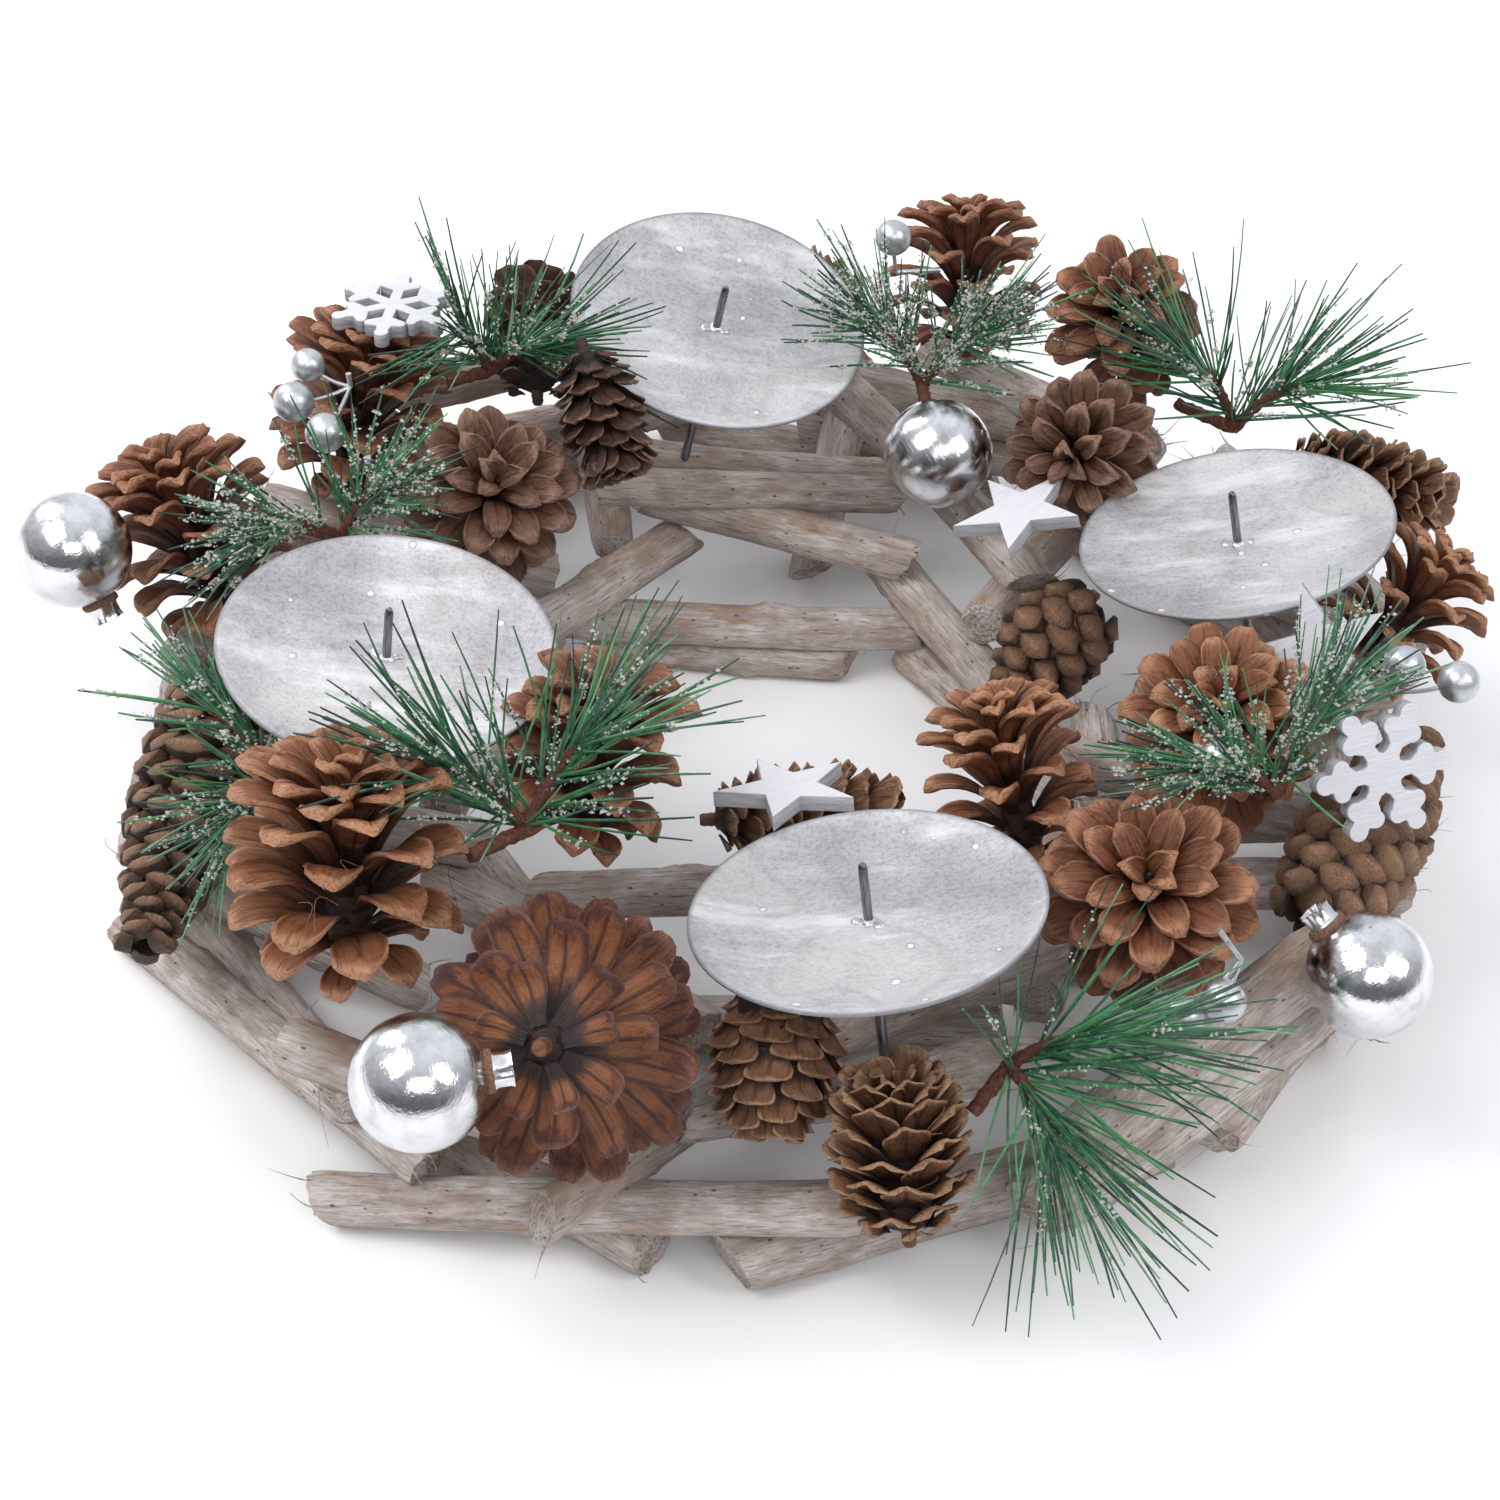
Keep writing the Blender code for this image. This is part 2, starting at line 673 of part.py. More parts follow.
def add_plates(crowd):
    for name, centre, tilt, bearing in PLATES:
        turn = turned_to(heading(bearing, 90 - tilt))
        place = place_at(Vector(centre) * MM, turn)
        floor = -PLATE_DEPTH
        upper = [(radius * PLATE_RADIUS, depth * floor) for radius, depth in DISH_CURVE]
        dish = [(radius, height - SHEET) for radius, height in reversed(upper)] + upper
        obj = add_object(name, *lathe(dish, PLATE_SIDES), ZINC, place, smooth=True)
        axis = turn @ DOWN
        foot = place @ Vector((0, 0, floor - 2 * SHEET))
        distance, bundle = crowd.first_hit(foot, axis)
        end = floor - 2 * SHEET - distance - ROD_DRIVEN
        rod = [
            (0, end),
            (ROD_RADIUS, end + 2 * ROD_RADIUS),
            (ROD_RADIUS, floor + SPIKE_HEIGHT - 4 * ROD_RADIUS),
            (0, floor + SPIKE_HEIGHT),
        ]
        fuse(obj, [add_object(name + "_rod", *lathe(rod, ROD_SIDES), ZINC, place)])
        sleeve = ROD_RADIUS + 1.2 * REST_GAP
        mouth = floor - 5 * SHEET
        hole = [(0, end - REST_GAP), (sleeve, end - REST_GAP / 2), (sleeve, mouth - SHEET), (0, mouth)]
        cutter = add_object(name + "_hole", *lathe(hole, ROD_SIDES), WOOD, place)
        wood = bpy.data.objects[bundle]
        apply_boolean(wood, "DIFFERENCE", other=cutter)
        bpy.data.objects.remove(cutter, do_unlink=True)
        crowd.add(wood)
        crowd.add(obj)


# Baubles and berries

def add_baubles(crowd):
    neck = math.asin(0.8 * CAP_RADIUS / BAUBLE_RADIUS)
    profile = [(0, -BAUBLE_RADIUS)]
    for step in range(1, BAUBLE_RINGS + 1):
        angle = math.pi - (math.pi - neck) * step / BAUBLE_RINGS
        profile.append((BAUBLE_RADIUS * math.sin(angle), BAUBLE_RADIUS * math.cos(angle)))
    rim = BAUBLE_RADIUS * math.cos(neck) + 0.2 * CAP_HEIGHT
    top = BAUBLE_RADIUS * math.cos(neck) + CAP_HEIGHT
    profile += [(CAP_RADIUS, rim), (0.9 * CAP_RADIUS, top), (0, top)]
    for name, centre, cap, way in BAUBLES:
        place = place_at(Vector(centre) * MM, turned_to(cap))
        obj = add_object(name, *lathe(profile, BAUBLE_SIDES), MIRROR, place, smooth=True)
        settle(obj, crowd, way)


def ball(centre, radius):
    made = bmesh.new()
    bmesh.ops.create_icosphere(made, subdivisions=2, radius=radius)
    points = [vertex.co + centre for vertex in made.verts]
    faces = [tuple(vertex.index for vertex in face.verts) for face in made.faces]
    made.free()
    return points, faces


def tube(path, radii, sides):
    """Points and triangles of a tube along the path, closed by a point at each end."""
    points = [path[0]]
    run = (path[-1] - path[0]).normalized()
    side = run.orthogonal().normalized()
    top = run.cross(side)
    for centre, radius in zip(path[1:-1], radii):
        for step in range(sides):
            angle = 2 * math.pi * step / sides
            points.append(centre + side * math.cos(angle) * radius + top * math.sin(angle) * radius)
    points.append(path[-1])
    return points, ring_faces(len(path) - 2, sides)


def wire(start, end):
    run = (end - start).normalized() * WIRE_RADIUS
    return tube([start - run, start, end, end + run], [WIRE_RADIUS, WIRE_RADIUS], WIRE_SIDES)


def stem(fork, radius, sides, crowd):
    """A stem from the fork to the nearest piece. Its flat foot is small enough to stay clear of the piece."""
    run = crowd.nearest_point(fork) - fork
    way = run.normalized()
    foot = fork + way * (run.length - REST_GAP)
    foot_radius = min(radius, 0.9 * math.sqrt(2 * REST_GAP * run.length - REST_GAP**2))
    return tube([foot, foot - way * 0.1 * radius, fork, fork - way * radius], [foot_radius, radius], sides)


def add_berries(crowd):
    for name, fork, berries in BERRIES:
        fork = Vector(fork) * MM
        pieces = [add_object(name, *stem(fork, WIRE_RADIUS, WIRE_SIDES, crowd), PEARL)]
        for x, y, z, radius in berries:
            centre = Vector((x, y, z)) * MM
            pieces.append(add_object(name + "_ball", *ball(centre, radius * MM), PEARL, smooth=True))
            pieces.append(add_object(name + "_wire", *wire(fork, centre), PEARL))
        fuse(pieces[0], pieces[1:])
        crowd.add(pieces[0])


# Snowflakes and stars

def outline_solid(loop, thickness):
    """A flat plate from a closed outline, counter-clockwise."""
    count = len(loop)
    points = [Vector((x, y, level)) for level in (-thickness / 2, thickness / 2) for x, y in loop]
    faces = [tuple(reversed(range(count))), tuple(range(count, 2 * count))]
    for index in range(count):
        after = (index + 1) % count
        faces.append((index, after, count + after, count + index))
    return points, faces


def flake_outline():
    """Six arms, each ending in three lobes, with a bay between neighbouring arms."""
    loop = []
    for arm in range(6):
        for offset, reach in FLAKE_ARM:
            angle = arm * math.pi / 3 + math.radians(offset)
            loop.append((FLAKE_RADIUS * reach * math.cos(angle), FLAKE_RADIUS * reach * math.sin(angle)))
    return loop


def star_outline():
    loop = []
    for corner in range(10):
        reach = STAR_RADIUS * (1.0 if corner % 2 == 0 else STAR_WAIST)
        angle = corner * math.pi / 5
        loop.append((reach * math.cos(angle), reach * math.sin(angle)))
    return loop


def add_cutouts(crowd):
    shapes = [(row, flake_outline()) for row in SNOWFLAKES] + [(row, star_outline()) for row in STARS]
    for (name, centre, tilt, bearing, spin), loop in shapes:
        turn = turned_to(heading(bearing, 90 - tilt), math.radians(spin))
        place = place_at(Vector(centre) * MM, turn)
        settle(add_object(name, *outline_solid(loop, PLY), WHITE_PAINT, place), crowd)


# Pine sprigs

def clear_tip(fork, tip, crowd):
    """The tip, raised until the twig clears what stands near it."""
    for _ in range(5):
        tried = [fork.lerp(tip, step / 6) for step in range(2, 8)]
        if min(crowd.nearest(point, 4 * MM) for point in tried) > TWIG_RADIUS + TWIG_ROOM:
            break
        tip = tip + UP * 2 * MM
    return tip


def twig_path(fork, tip):
    """Evenly spaced points of a twig that arches from the fork to its tip."""
    count = max(4, round((tip - fork).length / RING_SPACING))
    path = []
    for step in range(count + 1):
        share = step / count
        path.append(fork.lerp(tip, share) + UP * TWIG_ARCH * 4 * share * (1 - share))
    return path


def in_hole(point):
    return HOLE_X[0] <= point.x <= HOLE_X[1] and HOLE_Y[0] <= point.y <= HOLE_Y[1]


def needle_is_clear(root, tip, crowd):
    for step in range(2, NEEDLE_PROBES + 1):
        point = root.lerp(tip, step / NEEDLE_PROBES)
        if point.z < NEEDLE_FLOOR or in_hole(point):
            return False
        if crowd.nearest(point, 3 * NEEDLE_ROOM) < NEEDLE_ROOM:
            return False
    run = tip - root
    distance = crowd.first_hit(root, run)[0]
    return distance is None or distance > run.length


def needle_tree(corners, tip):
    """The needle without the first stretch at its root, where it may meet its neighbours."""
    near = [corner.lerp(tip, ROOT_SHARE) for corner in corners]
    return BVHTree.FromPolygons(near + [tip], [(0, 1, 3), (1, 2, 3), (2, 0, 3)], all_triangles=True)


def crosses_own(corners, tip, others):
    tree = needle_tree(corners, tip)
    return any(tree.overlap(other) for other in others)


def add_needles(twig, path, reach, wanted, crowd, draw):
    """Draw faces of the twig out into needles, each bent clear of what stands near it."""
    points, faces = crowd.faces_of(twig)
    order = list(range(len(faces)))
    draw.shuffle(order)
    grown = {}
    needles = []
    for index in order:
        if len(grown) == wanted:
            break
        corners = [points[i] for i in faces[index]]
        root = sum(corners, Vector()) / 3
        if (root - path[0]).length < BARE_FORK:
            continue
        outward = (corners[1] - corners[0]).cross(corners[2] - corners[0]).normalized()
        nearest = min(range(1, len(path)), key=lambda i: (path[i] - root).length)
        along = (path[nearest] - path[nearest - 1]).normalized()
        for attempt in range(NEEDLE_TRIES):
            opening = math.radians(draw.uniform(*NEEDLE_OPENING))
            wobble = Vector([draw.gauss(0, 0.06 + 0.03 * attempt) for _ in range(3)])
            run = (outward * math.sin(opening) + along * math.cos(opening) + wobble).normalized()
            if run.dot(outward) < LEAST_OUTWARD:
                continue
            tip = root + run * reach * draw.uniform(*NEEDLE_LENGTHS) * (1 - 0.04 * attempt)
            if needle_is_clear(root, tip, crowd) and not crosses_own(corners, tip, needles):
                grown[index] = tip
                needles.append(needle_tree(corners, tip))
                break
    whole = [face for index, face in enumerate(faces) if index not in grown]
    for index, tip in grown.items():
        a, b, c = faces[index]
        points.append(tip)
        top = len(points) - 1
        whole += [(a, b, top), (b, c, top), (c, a, top)]
    twig.data.clear_geometry()
    twig.data.from_pydata([tuple(point) for point in points], [], whole)


def add_sprigs(crowd):
    for number, (name, fork, tips, reach, wanted) in enumerate(SPRIGS):
        draw = random.Random(520 + number)
        fork = Vector(fork) * MM
        pieces = [add_object(name, *stem(fork, TWIG_RADIUS, TWIG_SIDES, crowd), NEEDLE_GREEN)]
        paths = []
        for index, tip in enumerate(tips):
            path = twig_path(fork, clear_tip(fork, Vector(tip) * MM, crowd))
            count = len(path)
            radii = [TWIG_RADIUS * (1 - TWIG_TAPER * step / count) for step in range(1, count - 1)]
            paths.append(path)
            pieces.append(add_object(f"{name}_twig_{index}", *tube(path, radii, TWIG_SIDES), NEEDLE_GREEN))
        for twig in pieces[1:]:
            crowd.add(twig)
        for twig, path in zip(pieces[1:], paths):
            crowd.remove(twig)
            add_needles(twig, path, reach * MM, wanted, crowd, draw)
            crowd.add(twig)
        for twig in pieces[1:]:
            crowd.remove(twig)
        fuse(pieces[0], pieces[1:])
        drop_scraps(pieces[0])
        crowd.add(pieces[0])


def main():
    clear_scene()
    root = bpy.data.objects.new(ROOT_NAME, None)
    root.location = SHIFT
    bpy.context.scene.collection.objects.link(root)
    crowd = Crowd()
    lay_sticks(crowd)
    add_plates(crowd)
    add_cones(crowd)
    add_baubles(crowd)
    add_cutouts(crowd)
    add_berries(crowd)
    add_sprigs(crowd)


main()
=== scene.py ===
"""Looks of the wooden advent wreath: rounded whitewashed sticks, scaled cones, zinc candle plates with
spikes, mirror baubles, pearly berries, painted snowflakes and stars, and pine sprigs with snow."""

import json
import math
import random

import bpy
import numpy as np
from mathutils import Matrix, Quaternion, Vector, noise
from mathutils.bvhtree import BVHTree

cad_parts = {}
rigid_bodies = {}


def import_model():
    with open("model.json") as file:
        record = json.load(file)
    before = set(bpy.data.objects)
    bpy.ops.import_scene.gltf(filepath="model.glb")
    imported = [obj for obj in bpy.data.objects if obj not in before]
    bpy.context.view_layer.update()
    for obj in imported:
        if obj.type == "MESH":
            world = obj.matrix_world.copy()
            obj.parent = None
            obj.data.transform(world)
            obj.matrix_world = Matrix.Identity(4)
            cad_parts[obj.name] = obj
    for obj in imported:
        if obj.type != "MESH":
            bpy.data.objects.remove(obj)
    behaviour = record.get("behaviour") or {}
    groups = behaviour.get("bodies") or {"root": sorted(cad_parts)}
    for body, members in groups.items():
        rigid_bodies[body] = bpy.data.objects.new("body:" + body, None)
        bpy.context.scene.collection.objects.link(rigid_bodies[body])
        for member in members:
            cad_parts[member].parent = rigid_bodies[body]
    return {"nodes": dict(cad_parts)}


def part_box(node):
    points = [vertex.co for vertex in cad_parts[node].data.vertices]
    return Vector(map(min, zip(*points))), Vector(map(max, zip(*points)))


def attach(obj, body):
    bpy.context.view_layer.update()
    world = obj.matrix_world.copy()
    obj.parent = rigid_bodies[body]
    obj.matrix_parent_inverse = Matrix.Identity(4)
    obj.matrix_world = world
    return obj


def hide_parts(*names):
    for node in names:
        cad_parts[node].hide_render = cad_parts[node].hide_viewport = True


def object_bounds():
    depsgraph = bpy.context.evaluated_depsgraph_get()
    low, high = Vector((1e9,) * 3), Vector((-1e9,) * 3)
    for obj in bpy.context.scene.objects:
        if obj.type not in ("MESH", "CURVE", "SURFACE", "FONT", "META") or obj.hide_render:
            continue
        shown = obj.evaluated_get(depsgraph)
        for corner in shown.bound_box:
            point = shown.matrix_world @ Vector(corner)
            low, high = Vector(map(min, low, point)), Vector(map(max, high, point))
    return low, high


MM = 0.001
UP = Vector((0, 0, 1))
GOLDEN = math.radians(137.508)
SHARP_ANGLE = math.radians(50)

# The first random seed of each group of pieces. The sticks are laid with the seed of the solids.
LAYING_SEED = 11
BRANCH_SEED = 700
CONE_SEED = 100
PLATE_SEED = 300
SPRIG_SEED = 900

# The solids' own values: the shift of the plan, the gap at rest and the rules by which the sticks lie.
SHIFT = Vector((13.4, -2.0, 0)) * MM
REST_GAP = 0.3 * MM
STICK_SIDES = 7
STICK_RINGS = 3
STICK_SINK = 3.6 * MM
GROUND_FLAT = 0.7 * MM
ON_GROUND = 1.02
STICK_BOW = 0.02
GIRTH_RANGE = (0.95, 1.0)
CUT_SLANT = 0.35
MOST_RISE = 27 * MM
MOST_DROP = 2.5 * MM

# A finished branch: points around it, length between its rings, height and reach of a knot (mm), slope of a
# cut, and length and radius of a torn fibre (mm).
BRANCH_SIDES = 24
BRANCH_RING = 3.0 * MM
KNOT_HEIGHTS = (0.5, 1.4)
KNOT_REACHES = (2.2, 4.5)
CUT_SLANTS = (-0.55, 0.55)
FIBRE_LENGTHS = (3, 9)
FIBRE_RADII = (0.16, 0.34)

# Each stick: bundle, plan of its two ends (mm), radius (mm). They are laid in this order.
STICKS = (
    ("front", -12, -149, 84, -106, 8.5),
    ("front_left", -100, -106, -30, -146, 7.0),
    ("right_front", 98, -110, 138, -44, 8.0),
    ("right", 146, -30, 144, 62, 7.5),
    ("right", 136, 76, 66, 136, 7.5),
    ("back", 52, 146, -50, 160, 7.0),
    ("back_left", -66, 154, -142, 96, 7.5),
    ("left", -158, 82, -160, -34, 7.5),
    ("front_left", -152, -50, -110, -100, 7.0),
    ("inner_back", -60, 64, 10, 62, 6.2),
    ("inner_back", 26, 68, 66, 16, 6.5),
    ("inner_right", 70, 4, 60, -62, 7.0),
    ("inner_front", 48, -70, -32, -78, 7.0),
    ("inner_front", -46, -78, -84, -24, 7.0),
    ("left", -86, -12, -72, 52, 7.0),
    ("front_left", -106, -138, 14, -145, 6.6),
    ("front_left", -166, -58, -82, -137, 6.4),
    ("right_front", 56, -135, 121, -82, 9.0),
    ("right_front", 134, -72, 152, 14, 7.0),
    ("right", 150, 36, 108, 116, 7.0),
    ("back", 92, 132, -6, 158, 7.0),
    ("back_left", -28, 162, -118, 128, 7.0),
    ("left", -130, 118, -168, 34, 7.0),
    ("left", -166, 22, -158, -60, 7.0),
    ("inner_back", -66, 60, 28, 66, 6.2),
    ("inner_back", 15, 84, 62, 22, 6.6),
    ("inner_right", 74, 24, 74, -50, 6.5),
    ("inner_front", 62, -58, -10, -92, 6.5),
    ("inner_front", -22, -90, -92, -44, 6.8),
    ("left", -92, -30, -76, 46, 6.6),
    ("left", -84, 30, -38, 84, 6.6),
    ("front_left", -54, -154, 2, -92, 6.2),
    ("right_front", 66, -128, 118, -82, 8.5),
    ("right_front", 148, -36, 62, -40, 7.0),
    ("right", 156, 42, 84, 24, 7.0),
    ("right", 92, 132, 44, 49, 6.6),
    ("back", 8, 166, -2, 98, 6.6),
    ("back_left", -74, 158, -58, 94, 6.6),
    ("left", -156, 84, -72, 58, 6.6),
    ("left", -168, -24, -80, -42, 6.8),
    ("left", -166, -52, -92, -72, 6.6),
    ("front_left", -104, -126, -52, -74, 6.6),
    ("front_left", -115, -119, -48, -135, 6.6),
    ("front_left", -24, -127, 66, -110, 6.4),
    ("inner_back", -48, 84, 24, 72, 6.4),
    ("right", 58, 94, 140, 72, 6.6),
    ("back", 22, 124, -70, 112, 6.4),
    ("left", -84, 106, -146, 122, 6.6),
    ("inner_back", -62, 72, 21, 92, 5.6),
    ("right", 2, 116, 57, 58, 6.6),
    ("back", 66, 142, -42, 160, 7.0),
    ("back", -34, 163, -124, 118, 6.6),
    ("right", 160, 58, 112, 132, 6.8),
    ("right_front", 154, -12, 72, -20, 6.6),
    ("inner_front", -64, -54, 66, -48, 6.4),
    ("back", 30, 172, 88, 112, 6.6),
    ("right_front", 62, -8, 150, -30, 6.6),
)

# Cones: name, kind, tint, bearing and climb of the apex (degrees), length and width (mm).
CONES = (
    ("open_cone_left", "open", "red", 150, 62, 54, 50),
    ("open_cone_back_left", "open", "red", 60, 70, 54, 52),
    ("closed_cone_back_left", "spruce", "dark", 100, 30, 42, 30),
    ("open_cone_inner_left", "open", "grey", 290, 52, 50, 45),
    ("spruce_cone_back_left", "spruce", "dark", 300, -45, 42, 26),
    ("closed_cone_left", "pebble", "tan", 266, -6, 100, 32),
    ("open_cone_left_front", "open", "orange", 100, 72, 54, 55),
    ("open_cone_front", "strap", "rimmed", 80, -42, 46, 58),
    ("open_cone_inner_front", "open", "red", 60, 75, 48, 46),
    ("spruce_cone_inner_front", "spruce", "brown", 6, 4, 54, 27),
    ("closed_cone_front", "tiled", "brown", 268, -38, 42, 32),
    ("spruce_cone_front", "spruce", "brown", 110, 60, 44, 34),
    ("open_cone_inner_right", "open", "orange", 130, 60, 46, 41),
    ("closed_cone_inner_right", "pebble", "tan", 215, -45, 40, 31),
    ("open_cone_right", "open", "orange", 240, 70, 46, 48),
    ("open_cone_right_front", "open", "red", 260, 66, 46, 52),
    ("closed_cone_right", "pebble", "tan", 62, 8, 76, 36),
    ("open_cone_far_right", "open", "orange", 30, 50, 44, 41),
    ("spruce_cone_right", "spruce", "brown", 330, 10, 56, 30),
    ("open_cone_back_right", "open", "red", 240, 60, 42, 44),
    ("open_cone_behind_bauble", "open", "grey", 250, 20, 38, 38),
    ("open_cone_back", "open", "red", 100, 60, 46, 46),
    ("spruce_cone_back", "spruce", "brown", 170, 10, 42, 30),
)

# How a kind of cone grows: millimetres of length per turn of scales, scales to a turn, core as a share of the
# width, climb of the roots along the cone, lean of the lowest and the highest scales (degrees), width at foot
# and crown, and how long the lowest scales are. Then for a scale: half its width as a share of the cone's
# radius, its neck, its thickness (mm), how far that thins to the edges, the arch along it, the cup across it
# and the extra thickness of its lip (mm).
CONE_KINDS = {
    "open": dict(turn=6.3, around=7, core=0.18, climb=0.66, lean=(-14, 82), foot=0.62, crown=0.34, start=0.66,
                 broad=0.215, neck=0.34, thick=1.7, thin=0.4, arch=0.19, cup=0.26, lip=1.8),
    "strap": dict(turn=5.2, around=9, core=0.17, climb=0.64, lean=(-8, 62), foot=0.62, crown=0.46, start=0.46,
                  broad=0.155, neck=0.48, thick=1.4, thin=0.0, arch=0.24, cup=0.10, lip=2.0),
    "pebble": dict(turn=6.2, around=8, core=0.72, climb=0.90, lean=(0, 0), foot=0.50, crown=0.32, start=1.0,
                   broad=0.37, neck=1.0, thick=1.8, thin=0.0, arch=0.0, cup=0.0, lip=0.0),
    "tiled": dict(turn=5.4, around=7, core=0.78, climb=0.80, lean=(0, 0), foot=0.60, crown=0.34, start=0.8,
                  broad=0.40, neck=0.60, thick=1.4, thin=0.5, arch=0.20, cup=-0.16, lip=0.3),
    "spruce": dict(turn=4.4, around=8, core=0.42, climb=0.80, lean=(26, 70), foot=0.55, crown=0.34,
                   start=0.66, broad=0.36, neck=0.50, thick=0.8, thin=0.5, arch=0.08, cup=-0.16, lip=0.3),
}
# Steps across and along a scale, finer for the open cones, points around a core, and a loose thread.
OPEN_SCALE_STEPS = (8, 10)
CLOSED_SCALE_STEPS = (6, 8)
CORE_SIDES = 20
THREAD_RADIUS = 0.09 * MM

# Candle plates: name, rim centre (mm), tilt (degrees) and the bearing to which the plate leans (degrees).
PLATES = (
    ("candle_plate_front", (12.5, -106.5, 81.2), 15.5, 131),
    ("candle_plate_right", (103.6, 35.0, 81.5), 16.0, 153),
    ("candle_plate_back", (-32.0, 102.0, 88.8), 12.3, -50),
    ("candle_plate_left", (-102.0, -39.5, 88.6), 4.3, -8),
)
PLATE_RADIUS = 40 * MM
PLATE_DEPTH = 4 * MM
SHEET = 0.9 * MM
SPIKE_HEIGHT = 15.6 * MM
ROD_RADIUS = 1.25 * MM
PLATE_SIDES = 128
PLATE_RINGS = 30
# The rounded rim: share of the plate's radius and of the sheet's thickness, from below.
RIM_PROFILE = ((0.998, 0.95), (1, 0.6), (0.999, 0.15))
ROD_SIDES = 20
WELD_SIDES = 24

# Baubles: name and direction of the cap.
BAUBLES = (
    ("bauble_left", (0.45, -0.35, -0.8)),
    ("bauble_front", (0.95, 0.2, 0.1)),
    ("bauble_right", (-0.7, 0.45, 0.55)),
    ("bauble_back", (0.2, 0.85, -0.5)),
)
BAUBLE_RADIUS = 15 * MM
CAP_RADIUS = 4.2 * MM
GLASS_SIDES = 72
GLASS_RINGS = 40
GLASS_POLE = 0.05 * MM
CAP_SIDES = 96
BAND_SIDES = 48
# The cap's sleeve: share of its radius, height above the shoulder (mm), depth of its eight flutes (share).
CAP_SLEEVE = (
    (1.00, -0.3, 0.0), (0.98, 1.4, 0.01), (0.88, 2.0, 0.03), (0.86, 4.6, 0.05), (0.92, 5.5, 0.06),
    (0.84, 5.5, 0.06), (0.76, 4.4, 0.05), (0.70, 1.8, 0.02), (0.10, 1.6, 0.0),
)
# The brown band round the neck: share of the cap's radius and height above the shoulder (mm).
NECK_BAND = ((0.98, -0.5), (1.13, -0.35), (1.16, 0.5), (1.10, 1.3), (0.97, 1.35))

# Berry sprays: name, fork of the wires, then the centre and radius of each berry (mm).
BERRIES = (
    ("berries_left", (-126, 66, 84), (
        (-139, 55, 86, 5.3), (-137, 67, 89, 4.5), (-129, 43, 86, 5.2))),
    ("berry_back", (16, 142, 80), ((14, 138, 94, 5.0),)),
    ("berry_middle", (102, -56, 76), ((93, -55, 85, 4.6),)),
    ("berries_front", (96, -108, 74), ((84, -116, 63, 5.2), (93, -113, 66, 5.2))),
    ("berries_right", (136, -28, 86), ((137, -28, 94, 5.0), (150, -30, 92, 5.0))),
)
WIRE_RADIUS = 0.55 * MM
WIRE_SAG = 1.2 * MM
WIRE_SIDES = 10
WIRE_STEPS = 8
BEAD_SIDES = 44
BEAD_RINGS = 28
BEAD_POLE = 0.03 * MM

# Painted wood: name, tilt of the face away from level, bearing to which it leans and spin (degrees).
SNOWFLAKES = (("snowflake_back_left", 6, 120, 26), ("snowflake_right", 62, 290, 22))
STARS = (("star_front", 20, 110, 45), ("star_back", 18, 170, 45), ("star_right", 60, 250, 30))
PLY = 4 * MM
FLAKE_RADIUS = 17.5 * MM
STAR_RADIUS = 17.5 * MM
STAR_WAIST = 0.40
PLY_BEVEL = 0.25 * MM

# Pine sprigs: name, fork of the two twigs, their tips (mm), longest needle (mm) and how snowy it is.
SPRIGS = (
    ("sprig_back_left", (-92, 88, 76), ((-101, 84, 91), (-75, 84, 88)), 42, 0.45),
    ("sprig_left", (-124, 28, 64), ((-140, 14, 78), (-112, 24, 84)), 34, 0.9),
    ("sprig_left_front", (-122, -66, 66), ((-141, -57, 80), (-134, -80, 66)), 30, 0.6),
    ("sprig_inner_front", (-64, -93, 84), ((-80, -93, 101), (-52, -82, 104)), 44, 0.45),
    ("sprig_back", (24, 98, 74), ((10, 98, 92), (38, 100, 90)), 34, 1.25),
    ("sprig_right", (110, 99, 66), ((98, 101, 84), (124, 96, 84)), 44, 0.35),
    ("sprig_right_front", (107, -58, 78), ((90, -62, 89), (116, -47, 98)), 36, 0.9),
    ("sprig_front", (46, -128, 56), ((64, -128, 68), (56, -146, 52)), 48, 0.2),
)
TWIG_RADIUS = 1.5 * MM
TWIG_ARCH = 3 * MM
TWIG_STEPS = 24
TWIG_SIDES = 12
TWIG_STRANDS = 3
STEM_STEPS = 8
NEEDLES_PER_TWIG = 74
NEEDLE_RADIUS = 0.36 * MM
NEEDLE_STEPS = 5
NEEDLE_TRIES = 8
# Degrees between needle and twig, share of the longest needle, and the least height of a needle.
NEEDLE_OPENING = (10, 62)
NEEDLE_LENGTHS = (0.62, 1.0)
NEEDLE_FLOOR = 2 * MM
# The open middle of the ring in its plan, which no needle crosses.
HOLE_X = (-33 * MM, 24 * MM)
HOLE_Y = (-22 * MM, 36 * MM)
# Needles part round a snowflake: seen along TO_CAMERA, none comes closer to its middle than this.
FLAKE_ROOM = 15.5 * MM
# Crumbs of snow: shapes to a sprig and the size of a crumb (mm).
CRUMB_SHAPES = 12
CRUMB_SIZES = (0.20, 0.58)

# The camera in the plan of the ring (mm), its climb and roll (degrees), the way back to it, and its lens from
# the focal length and the width of the photograph (pixels).
CAMERA_AIM = Vector((-15.54, 28.16, 0)) * MM
CAMERA_DISTANCE = 821.41 * MM
CAMERA_CLIMB = math.radians(43.0)
CAMERA_ROLL = math.radians(4.0)
TO_CAMERA = Vector((0, -math.cos(CAMERA_CLIMB), math.sin(CAMERA_CLIMB)))
SENSOR_WIDTH = 36
FOCAL_LENGTH = 3038.57
PHOTO_WIDTH = 1500
CAMERA_LENS = SENSOR_WIDTH * FOCAL_LENGTH / PHOTO_WIDTH

